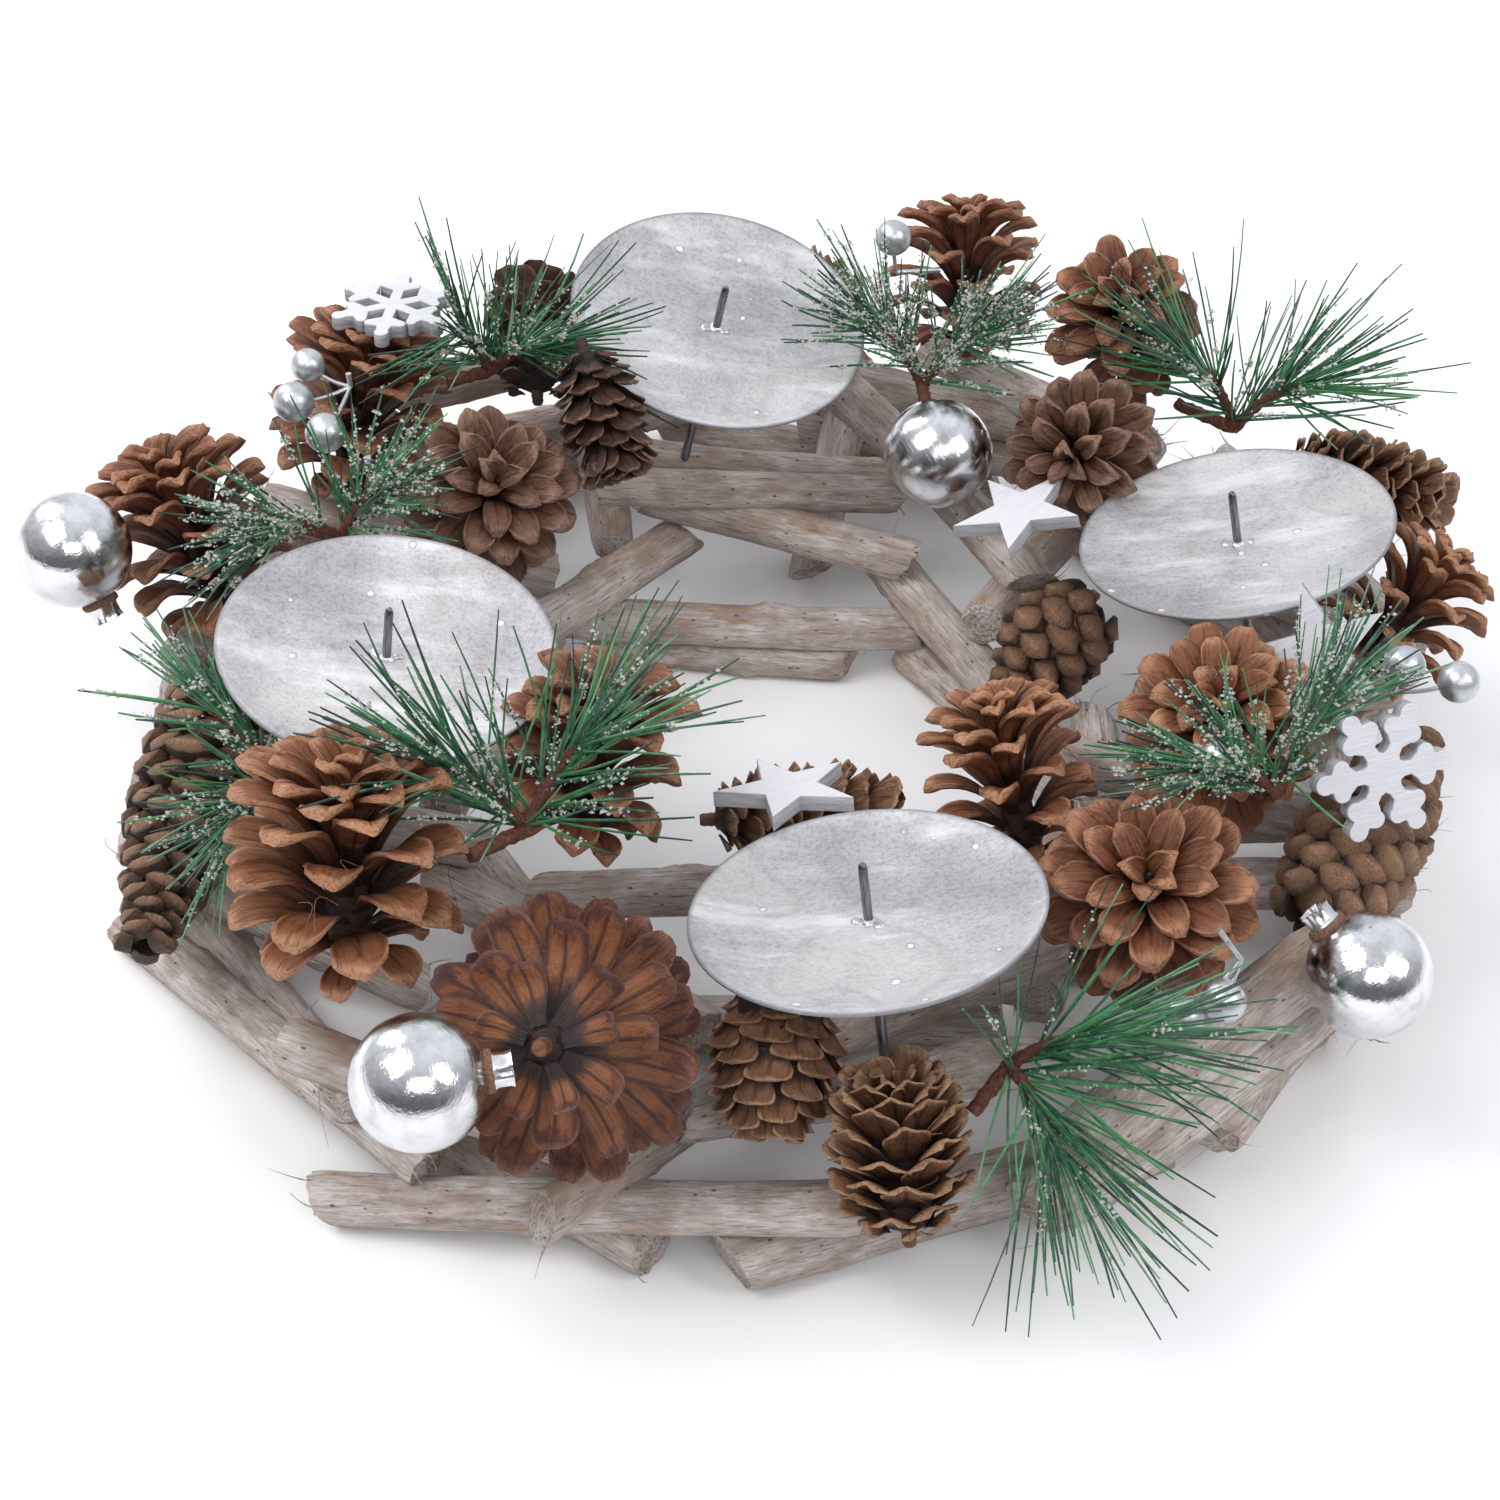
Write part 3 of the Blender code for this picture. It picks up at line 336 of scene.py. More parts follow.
# Soft lamps: name, place and aim (m), width and height (m) and power (W).
LAMPS = (
    ("key", (-0.75, -0.35, 1.25), (0, 0, 0.03), (0.8, 0.8), 11),
    ("window", (-0.95, 0.75, 0.9), (0, 0, 0.05), (0.5, 0.9), 5),
    ("fill", (1.0, -0.5, 1.1), (0, -0.05, 0.03), (0.5, 0.8), 6),
    ("front", (0.25, -1.5, 1.5), (0.05, -0.15, 0.0), (1.3, 0.7), 8),
)
FLOOR_REACH = 3.0


for leftover in list(bpy.data.objects):
    bpy.data.objects.remove(leftover, do_unlink=True)
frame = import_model()
CAD_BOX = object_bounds()


# Meshes in the making

def linked(name, data):
    obj = bpy.data.objects.new(name, data)
    bpy.context.scene.collection.objects.link(obj)
    return obj


def scatter(draw, size):
    return Vector([draw.gauss(0, size) for _ in range(3)])


class Build:
    """Points and faces of one piece. Each point has its place in the paint and three marks."""

    def __init__(self):
        self.points = []
        self.paint = []
        self.marks = []
        self.faces = []
        self.parts = []
        self.count = 0

    def add(self, points, faces, paint, marks, part=0):
        points = np.asarray(points, float)
        number = len(points)
        self.points.append(points)
        self.paint.append(np.broadcast_to(np.asarray(paint, float), (number, 3)))
        self.marks.append(np.broadcast_to(np.asarray(marks, float), (number, 3)))
        for face in faces:
            self.faces.append([self.count + index for index in face])
        self.parts += [part] * len(faces)
        self.count += number

    def finish(self, name, materials, node, slot, fit=False):
        """The object, riding on the body for its node, and fitted into the node's box if asked."""
        points = np.concatenate(self.points)
        if fit:
            low, high = (np.array(corner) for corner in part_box(node))
            middle = (points.min(0) + points.max(0)) / 2
            size = min((high - low) / (points.max(0) - points.min(0)))
            points = (points - middle) * size + (low + high) / 2
        mesh = bpy.data.meshes.new(name)
        mesh.from_pydata(points, [], self.faces)
        mesh.polygons.foreach_set("material_index", self.parts)
        mesh.polygons.foreach_set("use_smooth", [True] * len(mesh.polygons))
        for key, rows in (("paint", self.paint), ("marks", self.marks)):
            layer = mesh.attributes.new(key, "FLOAT_VECTOR", "POINT")
            layer.data.foreach_set("vector", np.concatenate(rows).ravel())
        for material in materials:
            mesh.materials.append(material)
        mesh.set_sharp_from_angle(angle=SHARP_ANGLE)
        obj = linked(name, mesh)
        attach(obj, "root")
        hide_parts(node)


def grid_faces(rings, sides, closed_ends=True):
    """Faces of rings of points in order, each ring closed. The ends are closed by one face each."""
    faces = []
    for ring in range(rings - 1):
        low = ring * sides
        for side in range(sides):
            after = (side + 1) % sides
            faces.append((low + side, low + after, low + sides + after, low + sides + side))
    if closed_ends:
        faces.append(tuple(reversed(range(sides))))
        faces.append(tuple(range((rings - 1) * sides, rings * sides)))
    return faces


def lathe(profile, sides, turn_radius=None):
    """Rings of a turned shape. turn_radius(angle, radius, ring) can change the radius round the axis."""
    points = []
    for ring, (radius, height) in enumerate(profile):
        for side in range(sides):
            angle = 2 * math.pi * side / sides
            reach = turn_radius(angle, radius, ring) if turn_radius else radius
            points.append((reach * math.cos(angle), reach * math.sin(angle), height))
    return np.array(points), grid_faces(len(profile), sides)


def placed(points, place):
    turn = np.array(place.to_3x3())
    return points @ turn.T + np.array(place.translation)


def heading(bearing, climb):
    flat = math.radians(bearing)
    rise = math.radians(climb)
    return Vector((math.cos(flat) * math.cos(rise), math.sin(flat) * math.cos(rise), math.sin(rise)))


def turned_to(direction, spin=0.0):
    return UP.rotation_difference(Vector(direction).normalized()) @ Quaternion(UP, spin)


def place_at(centre, turn):
    return Matrix.Translation(Vector(centre)) @ turn.to_matrix().to_4x4()


def tube(path, radii, sides, twist=0.0):
    """A tube along a path, with points at each end drawn together."""
    points = []
    side = None
    for index, centre in enumerate(path):
        run = path[min(index + 1, len(path) - 1)] - path[max(index - 1, 0)]
        run.normalize()
        side = run.orthogonal() if side is None else side - run * side.dot(run)
        side.normalize()
        top = run.cross(side)
        for step in range(sides):
            angle = 2 * math.pi * step / sides + twist * index
            points.append(centre + (side * math.cos(angle) + top * math.sin(angle)) * radii[index])
    return np.array(points), grid_faces(len(path), sides)


# Shader trees

class Paint:
    """A material with its node tree, written as calls that return sockets."""

    def __init__(self, name, **fixed):
        self.material = bpy.data.materials.new(name)
        self.material.use_nodes = True
        self.tree = self.material.node_tree
        self.surface = self.tree.nodes["Principled BSDF"]
        for key, value in fixed.items():
            self.surface.inputs[key.replace("_", " ")].default_value = value

    def node(self, kind, inputs=(), output=0, **settings):
        made = self.tree.nodes.new("ShaderNode" + kind)
        for key, value in settings.items():
            setattr(made, key, value)
        for key, value in dict(inputs).items():
            self.put(made.inputs[key], value)
        return made.outputs[output]

    def put(self, socket, value):
        if isinstance(value, bpy.types.NodeSocket):
            self.tree.links.new(value, socket)
        elif isinstance(value, tuple) and len(value) == 3 and socket.type == "RGBA":
            socket.default_value = (*value, 1)
        else:
            socket.default_value = value

    def attribute(self, name):
        return self.node("Attribute", output="Vector", attribute_name=name)

    def axis(self, vector, number):
        return self.node("SeparateXYZ", {0: vector}, output=number)

    def stretch(self, vector, factors):
        return self.node("VectorMath", {0: vector, 1: factors}, operation="MULTIPLY")

    def noise(self, vector, scale, detail, rough):
        inputs = {"Vector": vector, "Scale": scale, "Detail": detail, "Roughness": rough}
        return self.node("TexNoise", inputs)

    def spots(self, vector, scale):
        return self.node("TexVoronoi", {"Vector": vector, "Scale": scale}, output="Distance")

    def between(self, value, low, high, start=0.0, end=1.0):
        inputs = {"Value": value, "From Min": low, "From Max": high, "To Min": start, "To Max": end}
        return self.node("MapRange", inputs)

    def times(self, a, b):
        return self.node("Math", {0: a, 1: b}, operation="MULTIPLY")

    def plus(self, a, b):
        return self.node("Math", {0: a, 1: b}, operation="ADD")

    def mix(self, share, a, b):
        return self.node("Mix", {0: share, 6: a, 7: b}, output=2, data_type="RGBA")

    def colour(self, value):
        self.put(self.surface.inputs["Base Color"], value)

    def rough(self, value):
        self.put(self.surface.inputs["Roughness"], value)

    def bump(self, height, depth):
        inputs = {"Height": height, "Distance": depth, "Strength": 1.0}
        self.put(self.surface.inputs["Normal"], self.node("Bump", inputs))


def wood_material():
    """Bark-bare branches under a worn white wash: streaks along the grain, pores and warm worn patches."""
    paint = Paint("whitewashed_branch", Roughness=0.86)
    grain = paint.attribute("paint")
    fine = paint.noise(paint.stretch(grain, (1, 1, 0.10)), 1500, 5, 0.70)
    streak = paint.noise(paint.stretch(grain, (1, 1, 0.16)), 480, 5, 0.70)
    patch = paint.noise(paint.stretch(grain, (1, 1, 0.5)), 120, 5, 0.70)
    worn = paint.noise(paint.stretch(grain, (1, 1, 0.45)), 60, 3, 0.6)
    pore = paint.spots(paint.stretch(grain, (1, 1, 0.55)), 330)
    cloud = paint.noise(grain, 22, 2, 0.5)
    colour = paint.mix(paint.between(streak, 0.34, 0.62), (0.31, 0.235, 0.195), (0.55, 0.455, 0.405))
    wash = paint.times(paint.between(patch, 0.42, 0.58), paint.between(fine, 0.38, 0.60, 0.15, 1.0))
    colour = paint.mix(wash, colour, (0.80, 0.735, 0.715))
    warm = paint.times(paint.between(worn, 0.54, 0.66), paint.between(streak, 0.40, 0.60))
    colour = paint.mix(paint.times(warm, 0.85), colour, (0.42, 0.220, 0.105))
    colour = paint.mix(paint.between(fine, 0.42, 0.30, 0.0, 0.75), colour, (0.110, 0.078, 0.062))
    colour = paint.mix(paint.between(pore, 0.13, 0.07, 0.0, 0.8), colour, (0.075, 0.045, 0.035))
    colour = paint.mix(paint.between(cloud, 0.35, 0.7, 0.0, 0.25), colour, (0.34, 0.28, 0.25))
    paint.colour(colour)
    relief = paint.plus(paint.times(fine, 0.8), streak)
    paint.bump(paint.plus(relief, paint.between(pore, 0.13, 0.05, 0.0, -0.4)), 1.1 * MM)
    return paint.material


def end_grain_material():
    """The cut end of a branch: pale wood with faint growth rings, torn fibre and a white smear."""
    paint = Paint("branch_end", Roughness=0.9)
    grain = paint.attribute("paint")
    flat = paint.stretch(grain, (1, 1, 0.0))
    radius = paint.node("VectorMath", {0: flat}, output="Value", operation="LENGTH")
    warp = paint.noise(grain, 330, 3, 0.6)
    phase = paint.plus(paint.times(radius, 4200), paint.times(warp, 6.0))
    ring = paint.node("Math", {0: phase}, operation="SINE")
    speck = paint.noise(grain, 1500, 4, 0.7)
    smear = paint.noise(grain, 140, 3, 0.6)
    colour = paint.mix(paint.between(ring, -1, 1), (0.44, 0.33, 0.265), (0.60, 0.49, 0.42))
    colour = paint.mix(paint.between(smear, 0.42, 0.58), colour, (0.76, 0.69, 0.66))
    colour = paint.mix(paint.between(speck, 0.50, 0.34, 0.0, 0.8), colour, (0.14, 0.09, 0.065))
    paint.colour(colour)
    paint.bump(paint.plus(speck, paint.times(ring, 0.12)), 1.2 * MM)
    return paint.material


# Cone colours by tint: root, middle, seed marks, lip and outermost rim of a scale. The near-black root is
# partly the scale's darker base and partly painted shade deep between the scales.
TINTS = {
    "red": ((0.012, 0.004, 0.003), (0.125, 0.035, 0.015), (0.22, 0.078, 0.034), (0.35, 0.145, 0.074),
            (0.46, 0.215, 0.115)),
    "orange": ((0.015, 0.005, 0.003), (0.155, 0.047, 0.018), (0.27, 0.100, 0.040), (0.41, 0.180, 0.085),
               (0.52, 0.260, 0.140)),
    "rimmed": ((0.012, 0.004, 0.003), (0.090, 0.026, 0.014), (0.28, 0.098, 0.035), (0.070, 0.026, 0.024),
               (0.24, 0.095, 0.058)),
    "grey": ((0.012, 0.005, 0.004), (0.090, 0.036, 0.023), (0.20, 0.095, 0.052), (0.23, 0.120, 0.078),
             (0.32, 0.180, 0.122)),
    "tan": ((0.020, 0.010, 0.006), (0.290, 0.150, 0.082), (0.38, 0.210, 0.120), (0.50, 0.310, 0.190),
            (0.54, 0.350, 0.220)),
    "brown": ((0.014, 0.006, 0.004), (0.150, 0.066, 0.033), (0.23, 0.108, 0.055), (0.36, 0.195, 0.108),
              (0.46, 0.270, 0.155)),
    "dark": ((0.008, 0.004, 0.004), (0.052, 0.021, 0.014), (0.090, 0.042, 0.028), (0.16, 0.080, 0.050),
             (0.26, 0.140, 0.086)),
}


def scale_material(tint):
    """Dry cone scales: a dark root that is partly painted shade, two pale seed marks beside a dark middle
    line, a lip and a worn rim.
    """
    root, middle, pale, tip, rim = TINTS[tint]
    paint = Paint("scales_" + tint, Roughness=0.7)
    marks = paint.attribute("marks")
    along = paint.axis(marks, 0)
    aside = paint.node("Math", {0: paint.axis(marks, 1)}, operation="ABSOLUTE")
    place = paint.attribute("paint")
    fibre = paint.noise(paint.stretch(place, (1, 0.10, 1)), 1500, 4, 0.65)
    blotch = paint.noise(place, 210, 4, 0.65)
    drift = paint.noise(place, 45, 2, 0.5)
    reach = paint.plus(along, paint.between(blotch, 0.3, 0.7, -0.13, 0.13))
    # Partly painted shade: low marks take the near-black root colour, at the scale roots, on the knobs' inner
    # skins and on the core.
    colour = paint.mix(paint.between(reach, 0.15, 0.82), root, middle)
    seed = paint.times(paint.between(aside, 0.04, 0.14), paint.between(aside, 0.86, 0.66))
    seed = paint.times(seed, paint.times(paint.between(reach, 0.25, 0.5), paint.between(reach, 0.92, 0.78)))
    colour = paint.mix(paint.times(seed, 0.85), colour, pale)
    lip = paint.times(paint.between(reach, 0.80, 0.97), paint.between(fibre, 0.30, 0.60, 0.45, 1.0))
    colour = paint.mix(paint.times(lip, 0.9), colour, tip)
    worn = paint.times(paint.between(along, 0.89, 0.97), paint.between(fibre, 0.30, 0.55, 0.4, 1.0))
    colour = paint.mix(worn, colour, rim)
    colour = paint.mix(paint.between(fibre, 0.48, 0.30, 0.0, 0.6), colour, root)
    colour = paint.mix(paint.between(drift, 0.35, 0.65, 0.0, 0.20), colour, middle)
    paint.colour(colour)
    paint.rough(paint.between(blotch, 0.3, 0.7, 0.42, 0.74))
    paint.bump(paint.plus(fibre, blotch), 0.9 * MM)
    return paint.material


def zinc_material():
    """Galvanised sheet: gritty dark clouds, pale brushed streaks, dried drops and a thin painted-shade edge.
    """
    paint = Paint("galvanised_sheet", Metallic=0.5)
    place = paint.attribute("paint")
    edge = paint.axis(paint.attribute("marks"), 0)
    cloud = paint.noise(place, 17, 5, 0.6)
    grit = paint.noise(place, 900, 4, 0.75)
    run = paint.noise(paint.stretch(place, (0.25, 1, 1)), 90, 5, 0.7)
    stain = paint.noise(place, 24, 1, 0.4)
    wobble = paint.noise(place, 260, 3, 0.6)
    drop = paint.plus(paint.spots(place, 95), paint.times(wobble, 0.16))
    dark = paint.between(cloud, 0.62, 0.40)
    colour = paint.mix(dark, (0.66, 0.645, 0.655), (0.40, 0.39, 0.415))
    ring = paint.times(paint.between(stain, 0.555, 0.575), paint.between(stain, 0.600, 0.582))
    colour = paint.mix(paint.between(stain, 0.56, 0.62, 0.0, 0.25), colour, (0.53, 0.49, 0.45))
    colour = paint.mix(paint.times(ring, 0.3), colour, (0.36, 0.33, 0.30))
    gritty = paint.times(paint.between(grit, 0.46, 0.64), paint.between(dark, 0.0, 1.0, 0.25, 0.75))
    colour = paint.mix(gritty, colour, (0.25, 0.235, 0.245))
    streak = paint.times(paint.between(run, 0.50, 0.64, 0.0, 0.75), paint.between(dark, 0.2, 1.0, 1.0, 0.25))
    colour = paint.mix(streak, colour, (0.82, 0.81, 0.83))
    halo = paint.times(paint.between(drop, 0.215, 0.195), paint.between(drop, 0.160, 0.180, 0.0, 0.5))
    colour = paint.mix(halo, colour, (0.33, 0.32, 0.34))
    colour = paint.mix(paint.between(drop, 0.175, 0.155, 0.0, 0.85), colour, (0.90, 0.90, 0.92))
    # Painted shade: a thin dark band close to the plate's full radius, along its rim.
    colour = paint.mix(paint.between(edge, 0.975, 0.995, 0.0, 0.65), colour, (0.14, 0.138, 0.16))
    paint.colour(colour)
    paint.rough(paint.between(cloud, 0.3, 0.7, 0.62, 0.46))
    paint.bump(paint.plus(paint.plus(grit, cloud), paint.between(drop, 0.18, 0.14)), 0.3 * MM)
    return paint.material


# Plain materials: scale, detail and roughness of one noise, its stretch, the shares at which it reaches the
# dark and the pale colour, the depth of its relief (mm), the roughness at both ends, and fixed values.
PLAIN = {
    "spike_steel": dict(grain=(900, 3, 0.6), stretch=(1, 1, 0.12), share=(0.35, 0.7), dark=(0.09, 0.09, 0.11),
                        pale=(0.34, 0.34, 0.38), depth=0.2, gloss=(0.24, 0.42), Metallic=0.95),
    "weld_bead": dict(grain=(700, 3, 0.6), share=(0.35, 0.65), dark=(0.40, 0.40, 0.43),
                      pale=(0.78, 0.78, 0.80), depth=0.4, Metallic=0.8, Roughness=0.34),
    "crimped_cap": dict(grain=(600, 3, 0.6), dark=(0.56, 0.56, 0.58), pale=(0.84, 0.84, 0.85), depth=0.15,
                        gloss=(0.14, 0.30), Metallic=1.0),
    "pearl_bead": dict(grain=(380, 4, 0.65), dark=(0.44, 0.45, 0.475), pale=(0.64, 0.65, 0.68), depth=0.16,
                       gloss=(0.30, 0.44), Metallic=0.85, Coat_Weight=0.3, Coat_Roughness=0.15),
    "brown_cord": dict(grain=(1600, 3, 0.6), dark=(0.085, 0.042, 0.026), pale=(0.23, 0.125, 0.072), depth=0.3,
                       Roughness=0.9),
    "sprig_twig": dict(grain=(900, 4, 0.7), dark=(0.055, 0.018, 0.012), pale=(0.24, 0.085, 0.05), depth=0.9,
                       Roughness=0.85),
    "snow_grains": dict(grain=(1400, 3, 0.6), dark=(0.36, 0.37, 0.33), pale=(0.66, 0.665, 0.62), depth=0.6,
                        Roughness=0.7),
}


def plain_material(name, grain, dark, pale, depth, stretch=(1, 1, 1), share=(0.3, 0.7), gloss=None, **fixed):
    paint = Paint(name, **fixed)
    rub = paint.noise(paint.stretch(paint.attribute("paint"), stretch), *grain)
    paint.colour(paint.mix(paint.between(rub, *share), dark, pale))
    if gloss:
        paint.rough(paint.between(rub, 0.3, 0.7, *gloss))
    paint.bump(rub, depth * MM)
    return paint.material


def mirror_material():
    """Silvered glass with faint scratches and a few worn clouds, darker low down as painted shade."""
    paint = Paint("silvered_glass", Metallic=1.0, Coat_Weight=0.5, Coat_Roughness=0.05)
    place = paint.attribute("paint")
    scratch = paint.noise(paint.stretch(place, (1, 0.05, 0.4)), 1100, 4, 0.7)
    cloud = paint.noise(place, 110, 4, 0.65)
    fleck = paint.spots(place, 190)
    # Painted shade: the silver is darker the lower a point sits on the ball, by the height held in the marks.
    shade = paint.axis(paint.attribute("marks"), 0)
    clear = paint.mix(shade, (0.56, 0.565, 0.59), (0.82, 0.825, 0.85))
    colour = paint.mix(paint.between(cloud, 0.42, 0.68, 0.0, 0.9), clear, (0.48, 0.475, 0.48))
    colour = paint.mix(paint.between(fleck, 0.10, 0.06, 0.0, 0.6), colour, (0.30, 0.27, 0.25))
    paint.colour(colour)
    worn = paint.between(cloud, 0.52, 0.70, 0.0, 0.14)
    paint.rough(paint.plus(paint.between(scratch, 0.54, 0.70, 0.10, 0.28), worn))
    paint.bump(paint.plus(scratch, paint.times(cloud, 1.5)), 0.10 * MM)
    return paint.material


def white_paint_material():
    """Brushed white paint on thin plywood, greyer as painted shade and layered where the marks name its sawn
    edge.
    """
    paint = Paint("white_painted_ply", Roughness=0.62)
    place = paint.attribute("paint")
    face = paint.axis(paint.attribute("marks"), 0)
    brush = paint.noise(paint.stretch(place, (0.12, 1, 1)), 900, 4, 0.65)
    layer = paint.noise(paint.stretch(place, (0.1, 0.1, 1)), 1200, 2, 0.5)
    speck = paint.spots(place, 260)
    # Painted shade on the sawn edge: a grey copy of the white paint, streaked with the ply's layers.
    side = paint.mix(paint.between(layer, 0.35, 0.65), (0.33, 0.325, 0.345), (0.48, 0.475, 0.50))
    front = paint.mix(paint.between(brush, 0.25, 0.6), (0.58, 0.58, 0.615), (0.66, 0.66, 0.695))
    front = paint.mix(paint.between(speck, 0.09, 0.05, 0.0, 0.35), front, (0.52, 0.50, 0.47))
    paint.colour(paint.mix(face, side, front))
    paint.bump(brush, 0.3 * MM)
    return paint.material


def needle_material():
    """Needles from bright to blue-green, each with its own tone. Some grow dark at the tip, some pale."""
    paint = Paint("pine_needles", Roughness=0.42)
    place = paint.attribute("paint")
    marks = paint.attribute("marks")
    tone, along, kind = (paint.axis(marks, number) for number in range(3))
    streak = paint.noise(place, 420, 3, 0.6)
    colour = paint.mix(paint.between(tone, 0.25, 0.75), (0.012, 0.052, 0.042), (0.045, 0.205, 0.078))
    colour = paint.mix(paint.between(streak, 0.42, 0.70, 0.0, 0.55), colour, (0.130, 0.360, 0.150))
    tip = paint.between(along, 0.45, 0.95)
    dark_tip = paint.times(tip, paint.between(kind, 0.60, 0.62, 0.0, 0.9))
    pale_tip = paint.times(tip, paint.between(kind, 0.20, 0.18, 0.0, 0.6))
    colour = paint.mix(dark_tip, colour, (0.012, 0.022, 0.026))
    colour = paint.mix(pale_tip, colour, (0.20, 0.33, 0.20))
    paint.colour(colour)
    paint.bump(streak, 0.1 * MM)
    return paint.material


# Sticks

def axis_points(start, end, draw):
    """The stick's line in plan, bowed a little sideways."""
    along = end - start
    side = Vector((-along.y, along.x)).normalized()
    bow = draw.uniform(-STICK_BOW, STICK_BOW) * along.length
    points = []
    for ring in range(STICK_RINGS):
        share = ring / (STICK_RINGS - 1)
        points.append(start + along * share + side * bow * 4 * share * (1 - share))
    return points


def nearest_on(point, laid):
    """Plan distance from the point to a laid stick's axis, and the axis height there."""
    best = None
    for (a, b) in zip(laid["axis"], laid["axis"][1:]):
        run = (b - a).xy
        share = max(0.0, min(1.0, (point - a.xy).dot(run) / run.length_squared))
        near = a + (b - a) * share
        distance = (near.xy - point).length
        if best is None or distance < best[0]:
            best = (distance, near.z)
    return best


def resting_line(plan, radius, bundle, laid_sticks):
    """Heights of the two ends of a stick that comes to rest on the ground and on the sticks below it."""
    samples = 24
    needed = []
    count = len(plan) - 1
    for index in range(samples + 1):
        share = index / samples
        leg = min(int(share * count), count - 1)
        point = plan[leg].lerp(plan[leg + 1], share * count - leg)
        height = radius - GROUND_FLAT
        for laid in laid_sticks:
            apart = radius + laid["radius"] + (-STICK_SINK if laid["bundle"] == bundle else REST_GAP)
            distance, level = nearest_on(point, laid)
            if distance < apart:
                height = max(height, level + math.sqrt(apart**2 - distance**2))
        needed.append((share, height))
    level = max(height for _, height in needed)
    best = (level, level, level)
    for i, (share_a, height_a) in enumerate(needed):
        for share_b, height_b in needed[i + 1 :]:
            slope = (height_b - height_a) / (share_b - share_a)
            start = height_a - slope * share_a
            middle = start + slope / 2
            if abs(slope) > MOST_RISE or middle >= best[0]:
                continue
            if all(start + slope * share >= height - 1e-6 for share, height in needed):
                best = (middle, start, start + slope)
    return best[1], best[2]


def stick_mesh(axis, radius, draw):
    """The solid's own bar, which decides how far a stick drops."""
    points = []
    run = (axis[-1] - axis[0]).normalized()
    side = run.cross(UP).normalized()
    top = side.cross(run)
    for index, centre in enumerate(axis):
        girth = radius * draw.uniform(*GIRTH_RANGE)
        slant = draw.uniform(-CUT_SLANT, CUT_SLANT) if index in (0, len(axis) - 1) else 0.0
        for step in range(STICK_SIDES):
            angle = math.pi / 2 + 2 * math.pi * (step - 0.5) / STICK_SIDES
            reach = girth * draw.uniform(*GIRTH_RANGE)
            offset = side * math.cos(angle) * reach - top * math.sin(angle) * reach
            point = centre + offset + run * math.cos(angle) * slant * reach
            if step < 2 and centre.z < ON_GROUND * radius:
                point.z = 0.0
            points.append(point)
    return points, grid_faces(len(axis), STICK_SIDES)


def moved_down(points, drop, weights):
    return [point - UP * drop * weight for point, weight in zip(points, weights)]


def free_drop(points, faces, weights, others):
    """How far the stick comes down to rest on another bundle, or nothing where its own bundle carries it."""

    def hits(drop):
        tree = BVHTree.FromPolygons(moved_down(points, drop, weights), faces)
        return any(tree.overlap(other) for other in others)

    if hits(0) or not hits(MOST_DROP):
        return 0.0
    free = 0.0
    blocked = MOST_DROP
    for _ in range(7):
        middle = (free + blocked) / 2
        if hits(middle):
            blocked = middle
        else:
            free = middle
    return max(0.0, free - REST_GAP)


def laid_sticks():
    """The sticks of the ring, laid by the same rule and the same draws as the solids."""
    draw = random.Random(LAYING_SEED)
    laid = []
    trees = []
    for bundle, x_a, y_a, x_b, y_b, radius in STICKS:
        radius *= MM
        plan = axis_points(Vector((x_a, y_a)) * MM, Vector((x_b, y_b)) * MM, draw)
        low, high = resting_line(plan, radius, bundle, laid)
        last = len(plan) - 1
        axis = [Vector((p.x, p.y, low + (high - low) * i / last)) for i, p in enumerate(plan)]
        points, faces = stick_mesh(axis, radius, draw)
        ends = [0.0 if end.z < ON_GROUND * radius else 1.0 for end in (axis[0], axis[-1])]
        rises = [ends[0] + (ends[1] - ends[0]) * i / last for i in range(len(plan))]
        weights = [rises[i // STICK_SIDES] for i in range(len(points))]
        others = [tree for other, tree in trees if other != bundle]
        drop = free_drop(points, faces, weights, others)
        points = moved_down(points, drop, weights)
        axis = moved_down(axis, drop, rises)
        laid.append({"axis": axis, "radius": radius, "bundle": bundle})
        trees.append((bundle, BVHTree.FromPolygons(points, faces)))
    return laid


